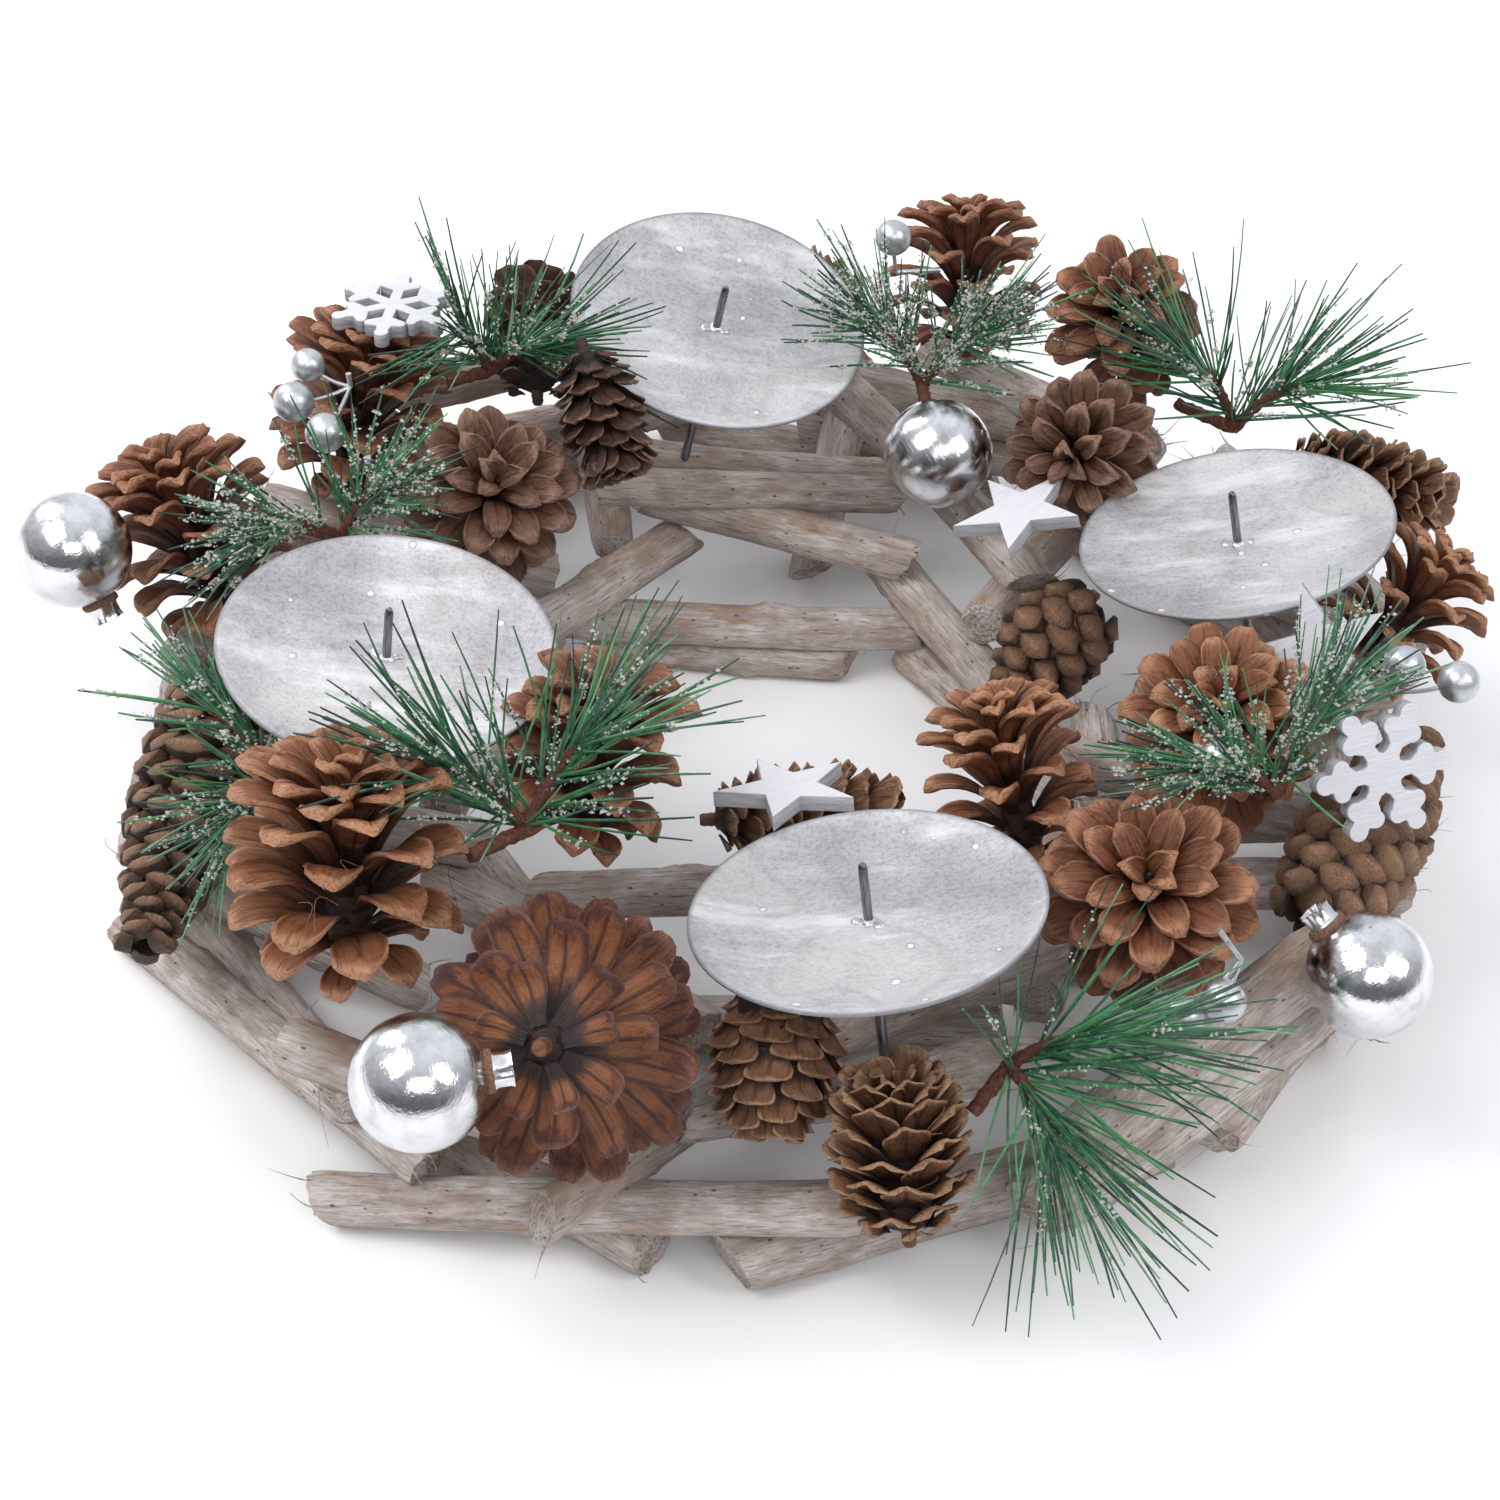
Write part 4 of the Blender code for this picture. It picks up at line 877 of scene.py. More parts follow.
def branch(build, stick, draw):
    """A rounded branch: uneven girth, ringed knots, torn slanted cuts that often flare, and loose fibres."""
    sides = BRANCH_SIDES
    start, middle, end = (point + SHIFT for point in stick["axis"])
    length = (end - start).length
    rings = max(12, round(length / BRANCH_RING))
    run = (end - start).normalized()
    side = run.cross(UP).normalized()
    top = side.cross(run)
    radius = stick["radius"]
    taper = draw.uniform(-0.06, 0.06)
    seed = Vector((draw.uniform(0, 50), draw.uniform(0, 50), draw.uniform(0, 50)))
    knots = []
    for _ in range(draw.choice((2, 2, 3, 4))):
        knots.append((draw.uniform(0.1, 0.9) * length, draw.uniform(0, 2 * math.pi),
                      draw.uniform(*KNOT_HEIGHTS) * MM, draw.uniform(*KNOT_REACHES) * MM))
    cuts = [draw.uniform(*CUT_SLANTS) for _ in range(4)]
    flares = [draw.choice((0.0, 0.0, 0.05, 0.09)) for _ in range(2)]
    offset = draw.uniform(0, 9)
    points = []
    paint = []
    for ring in range(rings + 1):
        share = ring / rings
        centre = start * (1 - share) ** 2 + end * share**2
        centre += (middle * 2 - (start + end) / 2) * 2 * share * (1 - share)
        centre += side * noise.noise(seed + Vector((share * length * 16, 0, 0))) * 1.0 * MM
        along = share * length
        close = min(along, length - along)
        last = int(share > 0.5)
        skew = max(0.0, abs(2 * share - 1)) ** 5
        for step in range(sides):
            angle = 2 * math.pi * step / sides
            across = Vector((math.cos(angle), math.sin(angle)))
            bumps = noise.noise(seed + Vector((along * 60, across.x * 1.2, across.y * 1.2)))
            ridge = noise.noise(seed + Vector((along * 22, across.x * 4.2, across.y * 4.2)))
            ripple = noise.noise(seed + Vector((along * 300, across.x * 3.1, across.y * 3.1)))
            reach = radius * (0.945 + taper * (share - 0.5) + 0.05 * bumps + 0.028 * ridge + 0.016 * ripple)
            reach += radius * flares[last] * math.exp(-close / (7 * MM))
            for place, bearing, height, spread in knots:
                turn = math.remainder(angle - bearing, 2 * math.pi) * radius
                far = math.sqrt((along - place) ** 2 + turn**2) / spread
                reach += height * (math.exp(-((far - 0.8) * 2.6) ** 2) - 0.5 * math.exp(-(far * 2.2) ** 2))
            if close < 1.5 * MM:
                reach *= 1 - 0.08 * (1 - close / (1.5 * MM)) ** 2
            point = centre + side * across.x * reach + top * across.y * reach
            torn = 0.16 * noise.noise(seed + Vector((9 * last, across.x * 5.0, across.y * 5.0)))
            lean = cuts[2 * last] * across.x + cuts[2 * last + 1] * across.y + torn
            point += run * lean * reach * skew
            point.z = max(point.z, 0.2 * MM)
            points.append(point)
            paint.append((across.x * radius, across.y * radius, along + offset))
    build.add(points, grid_faces(rings + 1, sides, closed_ends=False), paint, 1.0)
    for ring, outward in ((0, -1), (rings, 1)):
        rim = points[ring * sides : ring * sides + sides]
        centre = sum(rim, Vector()) / sides
        cap = list(rim)
        for share in (0.80, 0.55, 0.28):
            for point in rim:
                rough = draw.uniform(-0.4, 0.4) * MM
                cap.append(centre.lerp(point, share) + run * outward * rough)
        cap.append(centre)
        cap_paint = [((p - centre).dot(side), (p - centre).dot(top), offset + ring) for p in cap]
        faces = []
        for level in range(3):
            for step in range(sides):
                after = (step + 1) % sides
                a, b = level * sides + step, level * sides + after
                faces.append((a, b, b + sides, a + sides))
        for step in range(sides):
            faces.append((3 * sides + step, 3 * sides + (step + 1) % sides, 4 * sides))
        if outward < 0:
            faces = [tuple(reversed(face)) for face in faces]
        build.add(cap, faces, cap_paint, 0.0, part=1)
        for _ in range(draw.choice((0, 3, 5, 7))):
            fibre(build, draw.choice(rim), run * outward, draw)


def fibre(build, root, way, draw):
    """A torn fibre that curls away from a cut."""
    length = draw.uniform(*FIBRE_LENGTHS) * MM
    bend = scatter(draw, 0.5)
    spread = scatter(draw, 0.35)
    path = []
    for step in range(7):
        share = step / 6
        path.append(root + ((way * 0.6 + spread) * share + bend * share**2) * length)
    if all(inside_box(point) and point.z > NEEDLE_FLOOR for point in path):
        radii = [draw.uniform(*FIBRE_RADII) * MM * (1 - 0.8 * step / 6) for step in range(7)]
        points, faces = tube(path, radii, 4)
        build.add(points, faces, points, 0.0, part=1)


def dress_sticks(bark, cut):
    bundles = {}
    for number, stick in enumerate(laid_sticks()):
        build = bundles.setdefault(stick["bundle"], Build())
        branch(build, stick, random.Random(BRANCH_SEED + number))
    for bundle, build in bundles.items():
        node = "sticks_" + bundle
        build.finish(node + "_branches", [bark, cut], node, "whitewashed_wood")


# Cones

def scale_template(across, along):
    """Places on a scale: 0 to 1 along it, -1 to 1 across it, and 1 or -1 for its two skins."""
    rows = []
    for step in range(along + 1):
        t = 1 - (1 - step / along) ** 1.4
        rows += [(t, -1 + 2 * i / across, 1.0) for i in range(across + 1)]
        rows += [(t, 1 - 2 * i / across, -1.0) for i in range(across + 1)]
    return np.array(rows), grid_faces(along + 1, 2 * (across + 1))


def knob(bearing, number, level, reach, half, form, template, draw):
    """A lozenge of a closed cone: a low keeled dome on the cone's skin, standing out most at its top."""
    t, u, skin = template.T
    peak = np.clip(np.minimum(t / 0.60, (1 - t) / 0.40), 0, 1)
    full = 0.45 + 0.55 * reach / half
    wide = form["broad"] * half * full * draw.uniform(0.90, 1.08) * np.maximum(peak, 0.05) ** 0.45
    tall = 0.66 * form["turn"] * MM * full
    keel = 0.55 * MM * np.exp(-(((t - 0.60) / 0.12) ** 2)) * (1 - u**2)
    furrows = 0.22 * MM * np.sin(7 * u + 1.7 * number) * peak
    dome = form["thick"] * MM * peak**0.8 * (1 - 0.85 * np.abs(u) ** 2.6) + keel + furrows
    radial = reach - 0.20 * half + np.where(skin < 0, dome + 3.0 * MM * t, -1.2 * MM)
    slant = draw.uniform(-0.15, 0.15)
    height = level - tall * (1 - 2 * t) + slant * wide * u
    sideways = wide * u
    cos_b, sin_b = math.cos(bearing), math.sin(bearing)
    local = np.column_stack([radial * cos_b - sideways * sin_b, radial * sin_b + sideways * cos_b, height])
    # Painted shade in the gaps: the tone falls to near black at the knob's edges and ends, and its inner skin
    # stays dark; its peak keeps its own pale tan.
    knob_tone_and_gap_shade = (0.22 + 0.76 * peak**0.7 * (1 - 0.7 * np.abs(u) ** 3)) * draw.uniform(0.86, 1.0)
    paint = np.column_stack([sideways + number * 0.37, height + number * 0.11, radial])
    return local, paint, np.column_stack([np.where(skin < 0, knob_tone_and_gap_shade, 0.1), u * 0.05, skin])


def scale(bearing, number, root_z, tip_z, core, reach, half, size, form, template, draw):
    """A scale of an open cone or a tile of a closed one, curved from its root to a blunt, thick tip."""
    t, u, skin = template.T
    run = math.hypot(reach - core, tip_z - root_z)
    normal = np.array([-(tip_z - root_z), reach - core]) / run
    bow = form["arch"] * run * 4 * t * (1 - t) * (0.6 + 0.4 * t)
    along_r = core + (reach - core) * t + normal[0] * bow
    along_z = root_z + (tip_z - root_z) * t + normal[1] * bow
    rise = np.clip(t / 0.75, 0, 1)
    spread = form["neck"] + (1 - form["neck"]) * rise * rise * (3 - 2 * rise)
    blunt_end = np.sqrt(np.clip(1 - np.clip((t - 0.80) / 0.20, 0, 1) ** 4, 0.0, 1))
    wave = 1 + 0.06 * np.sin(7 * t + number) * draw.uniform(0.2, 1.0)
    wide = form["broad"] * half * size * spread * np.maximum(blunt_end, 0.50) * wave
    body = form["thick"] * MM * (0.55 + 0.45 * rise) * (1 - form["thin"] * np.abs(u) ** 2.5)
    lip = form["lip"] * MM * np.exp(-(((t - 0.92) / 0.08) ** 2) - (u / 0.80) ** 4)
    body = body + lip * np.where(skin < 0, 1.0, 0.45)
    frill = 0.45 * MM * np.sin(4 * u + 2.4 * number) * rise**3
    lift = skin * body / 2 + form["cup"] * form["broad"] * half * u**2 * rise + frill
    lift = lift + draw.uniform(-0.14, 0.14) * wide * u
    radial = along_r + normal[0] * lift
    height = along_z + normal[1] * lift
    sideways = wide * u + draw.uniform(-0.08, 0.08) * run * t**2
    cos_b, sin_b = math.cos(bearing), math.sin(bearing)
    local = np.column_stack([radial * cos_b - sideways * sin_b, radial * sin_b + sideways * cos_b, height])
    # Marks stay low towards the root, which the material darkens to near black: partly the scale's own base,
    # partly painted shade.
    edge = np.maximum(t, 0.55 + 0.45 * np.abs(u) ** 5 * rise)
    paint = np.column_stack([sideways + number * 0.37, t * run + number * 0.11, lift])
    return local, paint, np.column_stack([np.where(t > 0.5, edge, t) * draw.uniform(0.92, 1.0), u, skin])


def cone_pieces(build, kind, length, width, place, draw):
    """Scales set round a core by the golden angle, each a curved plate with its own tilt, twist and waves."""
    form = CONE_KINDS[kind]
    half = width / 2
    steps = OPEN_SCALE_STEPS if kind in ("open", "strap") else CLOSED_SCALE_STEPS
    template, faces = scale_template(*steps)
    total = max(30, round(0.86 * length / (form["turn"] * MM) * form["around"]))
    turn = np.array(place.to_3x3())
    origin = np.array(place.translation)

    def envelope(share):
        bulge = math.sin(math.pi * (0.10 + 0.84 * share**0.85))
        edge = form["foot"] + (form["crown"] - form["foot"]) * share
        return half * (edge + (1 - edge) * bulge)

    for number in range(total):
        share = number / (total - 1)
        bearing = number * GOLDEN + draw.uniform(-0.08, 0.08)
        reach = envelope(min(1.0, share + 0.06)) * draw.uniform(0.94, 1.04)
        core = envelope(share) * form["core"]
        root_z = length * (-0.44 + form["climb"] * share)
        if kind == "pebble":
            level = length * (-0.45 + form["climb"] * share)
            shape = knob(bearing, number, level, reach, half, form, template, draw)
        else:
            flat, steep = form["lean"]
            lean = math.radians(flat + (steep - flat) * share**0.85 + draw.uniform(-6, 6))
            size = min(1.0, 0.60 + 3.2 * share) * (1 - 0.5 * share**3)
            if kind == "tiled":
                tip_z = root_z + 1.5 * form["turn"] * MM
            else:
                core *= 1 - 0.5 * share
                reach = core + (reach - core) * min(1.0, form["start"] + 2.0 * share)
                reach *= 0.55 if share > 0.93 else 1.0
                tip_z = root_z + (reach - core) * math.tan(lean)
            highest = 0.5 if kind in ("tiled", "spruce") else 0.28 + 0.22 * share**2
            tip_z = min(tip_z, length * (highest - 0.03 * draw.random()))
            shape = scale(bearing, number, root_z, tip_z, core, reach, half, size, form, template, draw)
        local, paint, marks = shape
        build.add(local @ turn.T + origin, faces, paint, marks)
    profile = []
    for step in range(13):
        share = step / 12
        inner = envelope(share) * form["core"] * (1.05 if form["core"] > 0.5 else 1.12) * (1 - 0.5 * share**2)
        narrow = 0.25 if step in (0, 12) else 1
        profile.append((max(inner * narrow, 0.4 * MM), length * (-0.45 + 0.84 * share)))
    points, faces = lathe(profile, CORE_SIDES)
    # Painted shade: the core deep among the scales takes the near-black root colour; the pebble's core takes
    # the middle colour.
    shade = 0.5 if kind == "pebble" else 0.05
    build.add(points @ turn.T + origin, faces, points, (shade, 0.5, 1))
    stub = [Vector((0, 0, length * -0.42 - 1.0 * MM * step)) for step in range(6)]
    points, faces = tube(stub, [2.0 * MM, 1.8 * MM, 1.9 * MM, 1.7 * MM, 1.8 * MM, 1.4 * MM], 10)
    build.add(points @ turn.T + origin, faces, points, (0.45, 0.5, 1))


def add_threads(build, length, width, place, draw):
    """A few loose fibres and strings of dried glue round a cone."""
    for _ in range(draw.randint(2, 5)):
        bearing = draw.uniform(0, 2 * math.pi)
        reach = width / 2 * draw.uniform(0.75, 0.95)
        height = draw.uniform(-0.2, 0.3) * length
        start = Vector((math.cos(bearing) * reach, math.sin(bearing) * reach, height))
        way = scatter(draw, 1).normalized() * draw.uniform(5, 11) * MM
        curl = way.orthogonal().normalized() * draw.uniform(2, 4) * MM
        path = [start + way * (step / 11) + curl * math.sin(math.pi * 1.6 * step / 11) for step in range(12)]
        points, faces = tube(path, [THREAD_RADIUS] * len(path), 4)
        build.add(placed(points, place), faces, points, (0.9, 0.5, 1))


def dress_cones(tints):
    for number, (name, kind, tint, bearing, climb, length, width) in enumerate(CONES):
        draw = random.Random(CONE_SEED + number)
        turn = turned_to(heading(bearing, climb), draw.uniform(0, math.pi))
        place = place_at((0, 0, 0), turn)
        build = Build()
        cone_pieces(build, kind, length * MM, width * MM, place, draw)
        add_threads(build, length * MM, width * MM, place, draw)
        slot = "spruce_scales" if kind == "spruce" else "cone_scales"
        build.finish(name + "_scales", [tints[tint]], name, slot, fit=True)


# Candle plates

def blob(radius, height, level, lumps, phase):
    """A flattened drop of weld metal on the plate."""
    profile = []
    for step in range(7):
        angle = math.pi / 2 * step / 6
        profile.append((radius * math.cos(angle) + 0.05 * MM, level - 0.15 * MM + height * math.sin(angle)))

    def lumpy(angle, reach, ring):
        return reach * (1 + lumps * math.sin(3 * angle + phase))

    return lathe(profile, WELD_SIDES, lumpy)


def dress_plates(zinc, steel, weld):
    for number, (name, centre, tilt, bearing) in enumerate(PLATES):
        draw = random.Random(PLATE_SEED + number)
        place = place_at(Vector(centre) * MM + SHIFT, turned_to(heading(bearing, 90 - tilt)))
        floor = -PLATE_DEPTH
        upper = []
        for step in range(PLATE_RINGS + 1):
            share = step / PLATE_RINGS
            dip = floor * (1 - share**6 * 0.70 - 0.30 * share**1.8)
            upper.append((max(share * PLATE_RADIUS * 0.992, 0.2 * MM), dip))
        under = [(radius, height - SHEET) for radius, height in upper]
        rim = [(PLATE_RADIUS * wide, -SHEET * deep) for wide, deep in RIM_PROFILE]
        points, faces = lathe(under + rim + list(reversed(upper)), PLATE_SIDES)
        spread = np.hypot(points[:, 0], points[:, 1]) / PLATE_RADIUS
        # The first mark is the share of the radius, for the painted shade along the rim; the underside is
        # kept out of it.
        marks = np.column_stack([np.where(points[:, 2] < -PLATE_DEPTH * 1.1, 0.5, spread), spread, spread])
        build = Build()
        build.add(placed(points, place), faces, points + np.array([number * 0.31, 0, 0]), marks)
        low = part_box(name)[0].z
        drop = (place.translation.z - low) / (place.to_3x3() @ UP).z
        rod = [(0.25 * MM, -drop), (ROD_RADIUS, -drop + 2.5 * MM), (ROD_RADIUS, floor - 2 * MM),
               (ROD_RADIUS * 0.86, floor), (ROD_RADIUS * 0.84, floor + SPIKE_HEIGHT * 0.90),
               (ROD_RADIUS * 0.60, floor + SPIKE_HEIGHT * 0.965), (0.2 * MM, floor + SPIKE_HEIGHT)]
        points, faces = lathe(rod, ROD_SIDES)
        build.add(placed(points, place), faces, points, 0.0, part=1)
        points, faces = blob(2.0 * MM, 1.1 * MM, floor, 0.16, number)
        build.add(placed(points, place), faces, points, 0.0, part=2)
        for bearing_spot in (draw.uniform(150, 200), draw.uniform(-70, 20)):
            spot = heading(bearing_spot, 0) * draw.uniform(2.6, 3.4) * MM
            points, faces = blob(draw.uniform(1.1, 1.6) * MM, 0.9 * MM, floor, 0.10, draw.uniform(0, 6))
            build.add(placed(points + np.array(spot), place), faces, points, 0.0, part=2)
        build.finish(name + "_dish", [zinc, steel, weld], name, "zinc_sheet")


# Baubles and berries

def ball_profile(radius, neck, rings, pole):
    """The half circle of a ball from its bottom up to the angle of its neck, no narrower than its pole."""
    profile = []
    for ring in range(rings + 1):
        angle = math.pi - (math.pi - neck) * ring / rings
        profile.append((max(radius * math.sin(angle), pole), radius * math.cos(angle)))
    return profile


def dress_baubles(mirror, cap, cord):
    neck = math.asin(0.8 * CAP_RADIUS / BAUBLE_RADIUS)
    shoulder = BAUBLE_RADIUS * math.cos(neck)

    def fluted(angle, reach, ring):
        return reach * (1 + CAP_SLEEVE[ring][2] * math.cos(8 * angle))

    def uneven(angle, reach, ring):
        return reach * (1 + 0.03 * math.sin(3 * angle + ring))

    for number, (name, direction) in enumerate(BAUBLES):
        place = place_at((0, 0, 0), turned_to(direction, 0.7 * number))
        build = Build()
        points, faces = lathe(ball_profile(BAUBLE_RADIUS, neck, GLASS_RINGS, GLASS_POLE), GLASS_SIDES)
        turned = placed(points, place)
        # Painted shade: marks that darken the silver towards the bottom of the ball as it sits in the scene.
        shade = np.clip(0.55 + 0.8 * turned[:, 2] / BAUBLE_RADIUS, 0, 1)
        build.add(turned, faces, points, np.column_stack([shade, shade, shade]))
        profile = [(CAP_RADIUS * share, shoulder + height * MM) for share, height, _ in CAP_SLEEVE]
        points, faces = lathe(profile, CAP_SIDES, fluted)
        build.add(placed(points, place), faces, points, 0.0, part=1)
        band = [(CAP_RADIUS * share, shoulder + height * MM) for share, height in NECK_BAND]
        points, faces = lathe(band, BAND_SIDES, uneven)
        build.add(placed(points, place), faces, points, 0.0, part=2)
        build.finish(name + "_glass", [mirror, cap, cord], name, "mirror_silver", fit=True)


class Solids:
    """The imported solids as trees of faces, to keep the middle lines of needles clear of them."""

    def __init__(self):
        self.trees = {}
        for name, node in frame["nodes"].items():
            mesh = node.data
            mesh.calc_loop_triangles()
            points = [vertex.co for vertex in mesh.vertices]
            faces = [tuple(triangle.vertices) for triangle in mesh.loop_triangles]
            self.trees[name] = BVHTree.FromPolygons(points, faces, all_triangles=True)

    def without(self, name):
        return [tree for other, tree in self.trees.items() if other != name]


def nearest_point(point, trees):
    found = [tree.find_nearest(point) for tree in trees]
    return min(found, key=lambda hit: hit[3])[0]


def dress_berries(pearl, solids):
    for name, fork, berries in BERRIES:
        fork = Vector(fork) * MM + SHIFT
        build = Build()
        foot = nearest_point(fork, solids.without(name))
        way = (foot - fork).normalized()
        foot = foot - way * 0.3 * MM
        points, faces = tube([foot, foot.lerp(fork, 0.5), fork], [0.8 * MM, 0.7 * MM, 0.7 * MM], WIRE_SIDES)
        build.add(points, faces, points, 0.0)
        for x, y, z, radius in berries:
            centre = Vector((x, y, z)) * MM + SHIFT
            path = []
            for step in range(WIRE_STEPS + 1):
                share = step / WIRE_STEPS
                path.append(fork.lerp(centre, share) - UP * WIRE_SAG * 4 * share * (1 - share))
            points, faces = tube(path, [WIRE_RADIUS] * len(path), WIRE_SIDES)
            build.add(points, faces, points, 0.0)
            points, faces = lathe(ball_profile(radius * MM, 0.0, BEAD_RINGS, BEAD_POLE), BEAD_SIDES)
            spot = place_at(centre, turned_to(centre - fork))
            build.add(placed(points, spot), faces, points, 0.0)
        build.finish(name + "_beads", [pearl], name, "pearl_silver")


# Snowflakes and stars

def cutout_mesh(loop):
    """A plate of the ply's thickness from its closed outline, with broken edges."""
    curve = bpy.data.curves.new("cutout", "CURVE")
    curve.dimensions = "2D"
    curve.fill_mode = "BOTH"
    curve.extrude = PLY / 2 - PLY_BEVEL
    curve.bevel_depth = PLY_BEVEL
    curve.bevel_resolution = 1
    curve.offset = -PLY_BEVEL
    spline = curve.splines.new("POLY")
    spline.points.add(len(loop) - 1)
    for point, (x, y) in zip(spline.points, loop):
        point.co = (x, y, 0, 1)
    spline.use_cyclic_u = True
    holder = linked("cutout", curve)
    graph = bpy.context.evaluated_depsgraph_get()
    mesh = bpy.data.meshes.new_from_object(holder.evaluated_get(graph))
    bpy.data.objects.remove(holder, do_unlink=True)
    points = np.array([vertex.co for vertex in mesh.vertices])
    faces = [tuple(polygon.vertices) for polygon in mesh.polygons]
    return points, faces


def arc(centre, radius, start, end, steps):
    return [(centre[0] + radius * math.cos(start + (end - start) * i / steps),
             centre[1] + radius * math.sin(start + (end - start) * i / steps)) for i in range(steps + 1)]


def arm_loop(half_arm):
    """The outline of six equal arms. Half an arm runs from the bay beside it to the middle of its tip."""
    outline = []
    arm = [(x, -y) for x, y in half_arm] + list(reversed(half_arm))[1:]
    for number in range(6):
        turn = number * math.pi / 3
        for x, y in arm[1:]:
            outline.append((FLAKE_RADIUS * (x * math.cos(turn) - y * math.sin(turn)),
                            FLAKE_RADIUS * (x * math.sin(turn) + y * math.cos(turn))))
    return outline


def branched_flake():
    """Straight arms with two slanted fingers and a round tip, so that kites of air open round the hub."""
    finger = arc((0.605, 0.245), 0.085, math.radians(150), math.radians(-25), 8)
    tip = arc((0.885, 0.0), 0.115, math.radians(125), math.radians(0), 7)
    return arm_loop([(0.155, 0.0895), (0.43, 0.085)] + finger + [(0.70, 0.115)] + tip)


def clubbed_flake():
    """Arms that end in three round lobes, with a narrow bay between neighbouring arms."""
    lobe = arc((0.62, 0.170), 0.125, math.radians(170), math.radians(10), 10)
    tip = arc((0.86, 0.0), 0.14, math.radians(115), math.radians(0), 8)
    return arm_loop([(0.24, 0.1386), (0.30, 0.105), (0.40, 0.100)] + lobe + [(0.762, 0.130)] + tip)


def star_loop():
    loop = []
    for corner in range(10):
        reach = STAR_RADIUS * (1.0 if corner % 2 == 0 else STAR_WAIST)
        angle = corner * math.pi / 5
        loop.append((reach * math.cos(angle), reach * math.sin(angle)))
    return loop


def dress_cutouts(white):
    shapes = [(SNOWFLAKES[0], branched_flake()), (SNOWFLAKES[1], clubbed_flake())]
    shapes += [(row, star_loop()) for row in STARS]
    for (name, tilt, bearing, spin), loop in shapes:
        turn = turned_to(heading(bearing, 90 - tilt), math.radians(spin))
        points, faces = cutout_mesh(loop)
        # Marks of the two painted faces; the rest is the sawn edge, which the material greys as painted
        # shade.
        face = (np.abs(points[:, 2]) > PLY / 2 - 0.2 * MM).astype(float)
        build = Build()
        build.add(placed(points, place_at((0, 0, 0), turn)), faces, points, face[:, None])
        build.finish(name + "_ply", [white], name, "white_paint", fit=True)


# Pine sprigs

def twig_path(fork, tip):
    path = []
    for step in range(TWIG_STEPS + 1):
        share = step / TWIG_STEPS
        path.append(fork.lerp(tip, share) + UP * TWIG_ARCH * 4 * share * (1 - share))
    return path


def needle_is_clear(path, trees, flakes):
    """Whether a needle's middle line keeps to the box and misses the solids, the hole and the flakes."""
    for index in range(1, len(path)):
        point = path[index]
        plan = point - SHIFT
        over_hole = HOLE_X[0] < plan.x < HOLE_X[1] and HOLE_Y[0] < plan.y < HOLE_Y[1]
        if point.z < NEEDLE_FLOOR or over_hole or not inside_box(point):
            return False
        if any((point - middle).cross(TO_CAMERA).length < FLAKE_ROOM for middle in flakes):
            return False
        step = point - path[index - 1]
        for tree in trees:
            if tree.ray_cast(path[index - 1], step, step.length)[0] is not None:
                return False
    return True


def inside_box(point):
    low, high = CAD_BOX
    room = 0.5 * MM
    return all(low[axis] + room < point[axis] < high[axis] - room for axis in range(3))


def snow_grain(draw):
    """A small crumb of snow: eight faces round a middle, pushed out of round."""
    corners = ((1, 0, 0), (0, 1, 0), (-1, 0, 0), (0, -1, 0), (0, 0, 1), (0, 0, -1))
    points = [Vector(corner) * draw.uniform(0.6, 1.6) for corner in corners]
    faces = []
    for step in range(4):
        after = (step + 1) % 4
        faces += [(step, after, 4), (after, step, 5)]
    return np.array(points), faces


def needle_line(root, way, length, droop):
    return [root + way * length * (i / NEEDLE_STEPS) + droop * length * (i / NEEDLE_STEPS) ** 2
            for i in range(NEEDLE_STEPS + 1)]


def add_snow(build, line, crumbs, snowy, draw):
    """Crumbs of snow along a needle, in a few clusters."""
    for _ in range(draw.randint(1, 3) + round(2 * snowy)):
        where = draw.uniform(0.08, 0.88)
        for _ in range(draw.randint(4, 10)):
            spot = min(max(where + draw.gauss(0, 0.05), 0.02), 0.95) * NEEDLE_STEPS
            leg = int(spot)
            centre = line[leg].lerp(line[leg + 1], spot - leg)
            size = draw.uniform(*CRUMB_SIZES) * MM
            jitter = np.array([draw.gauss(0, 0.50) for _ in range(3)]) * MM
            grain, faces = draw.choice(crumbs)
            build.add(grain * size + np.array(centre) + jitter, faces, grain * size, 0.0, part=2)


def add_twig(build, path, radii):
    """A twig wound from a few strands."""
    points, faces = tube(path, radii, TWIG_SIDES)
    centres = np.repeat(np.array([tuple(point) for point in path]), TWIG_SIDES, axis=0)
    steps = np.repeat(np.arange(len(path)), TWIG_SIDES)
    angles = np.tile(np.arange(TWIG_SIDES), len(path)) * 2 * math.pi / TWIG_SIDES
    swell = 1 + 0.22 * np.cos(TWIG_STRANDS * (angles + 0.75 * steps))
    build.add(centres + (points - centres) * swell[:, None], faces, points, 0.0, part=1)


def grow_needle(root, along, side, tuft, reach, trees, flakes, draw):
    """The middle line of a needle that passes the test above, or nothing after a few tries."""
    for attempt in range(NEEDLE_TRIES):
        opening = math.radians(tuft + draw.gauss(0, 6))
        way = along * math.cos(opening) + side * math.sin(opening)
        way = (way + scatter(draw, 0.06 + 0.05 * attempt)).normalized()
        length = reach * MM * draw.uniform(*NEEDLE_LENGTHS) * (1 - 0.04 * attempt)
        line = needle_line(root, way, length, scatter(draw, 0.07))
        if needle_is_clear(line, trees, flakes):
            return line
    return None


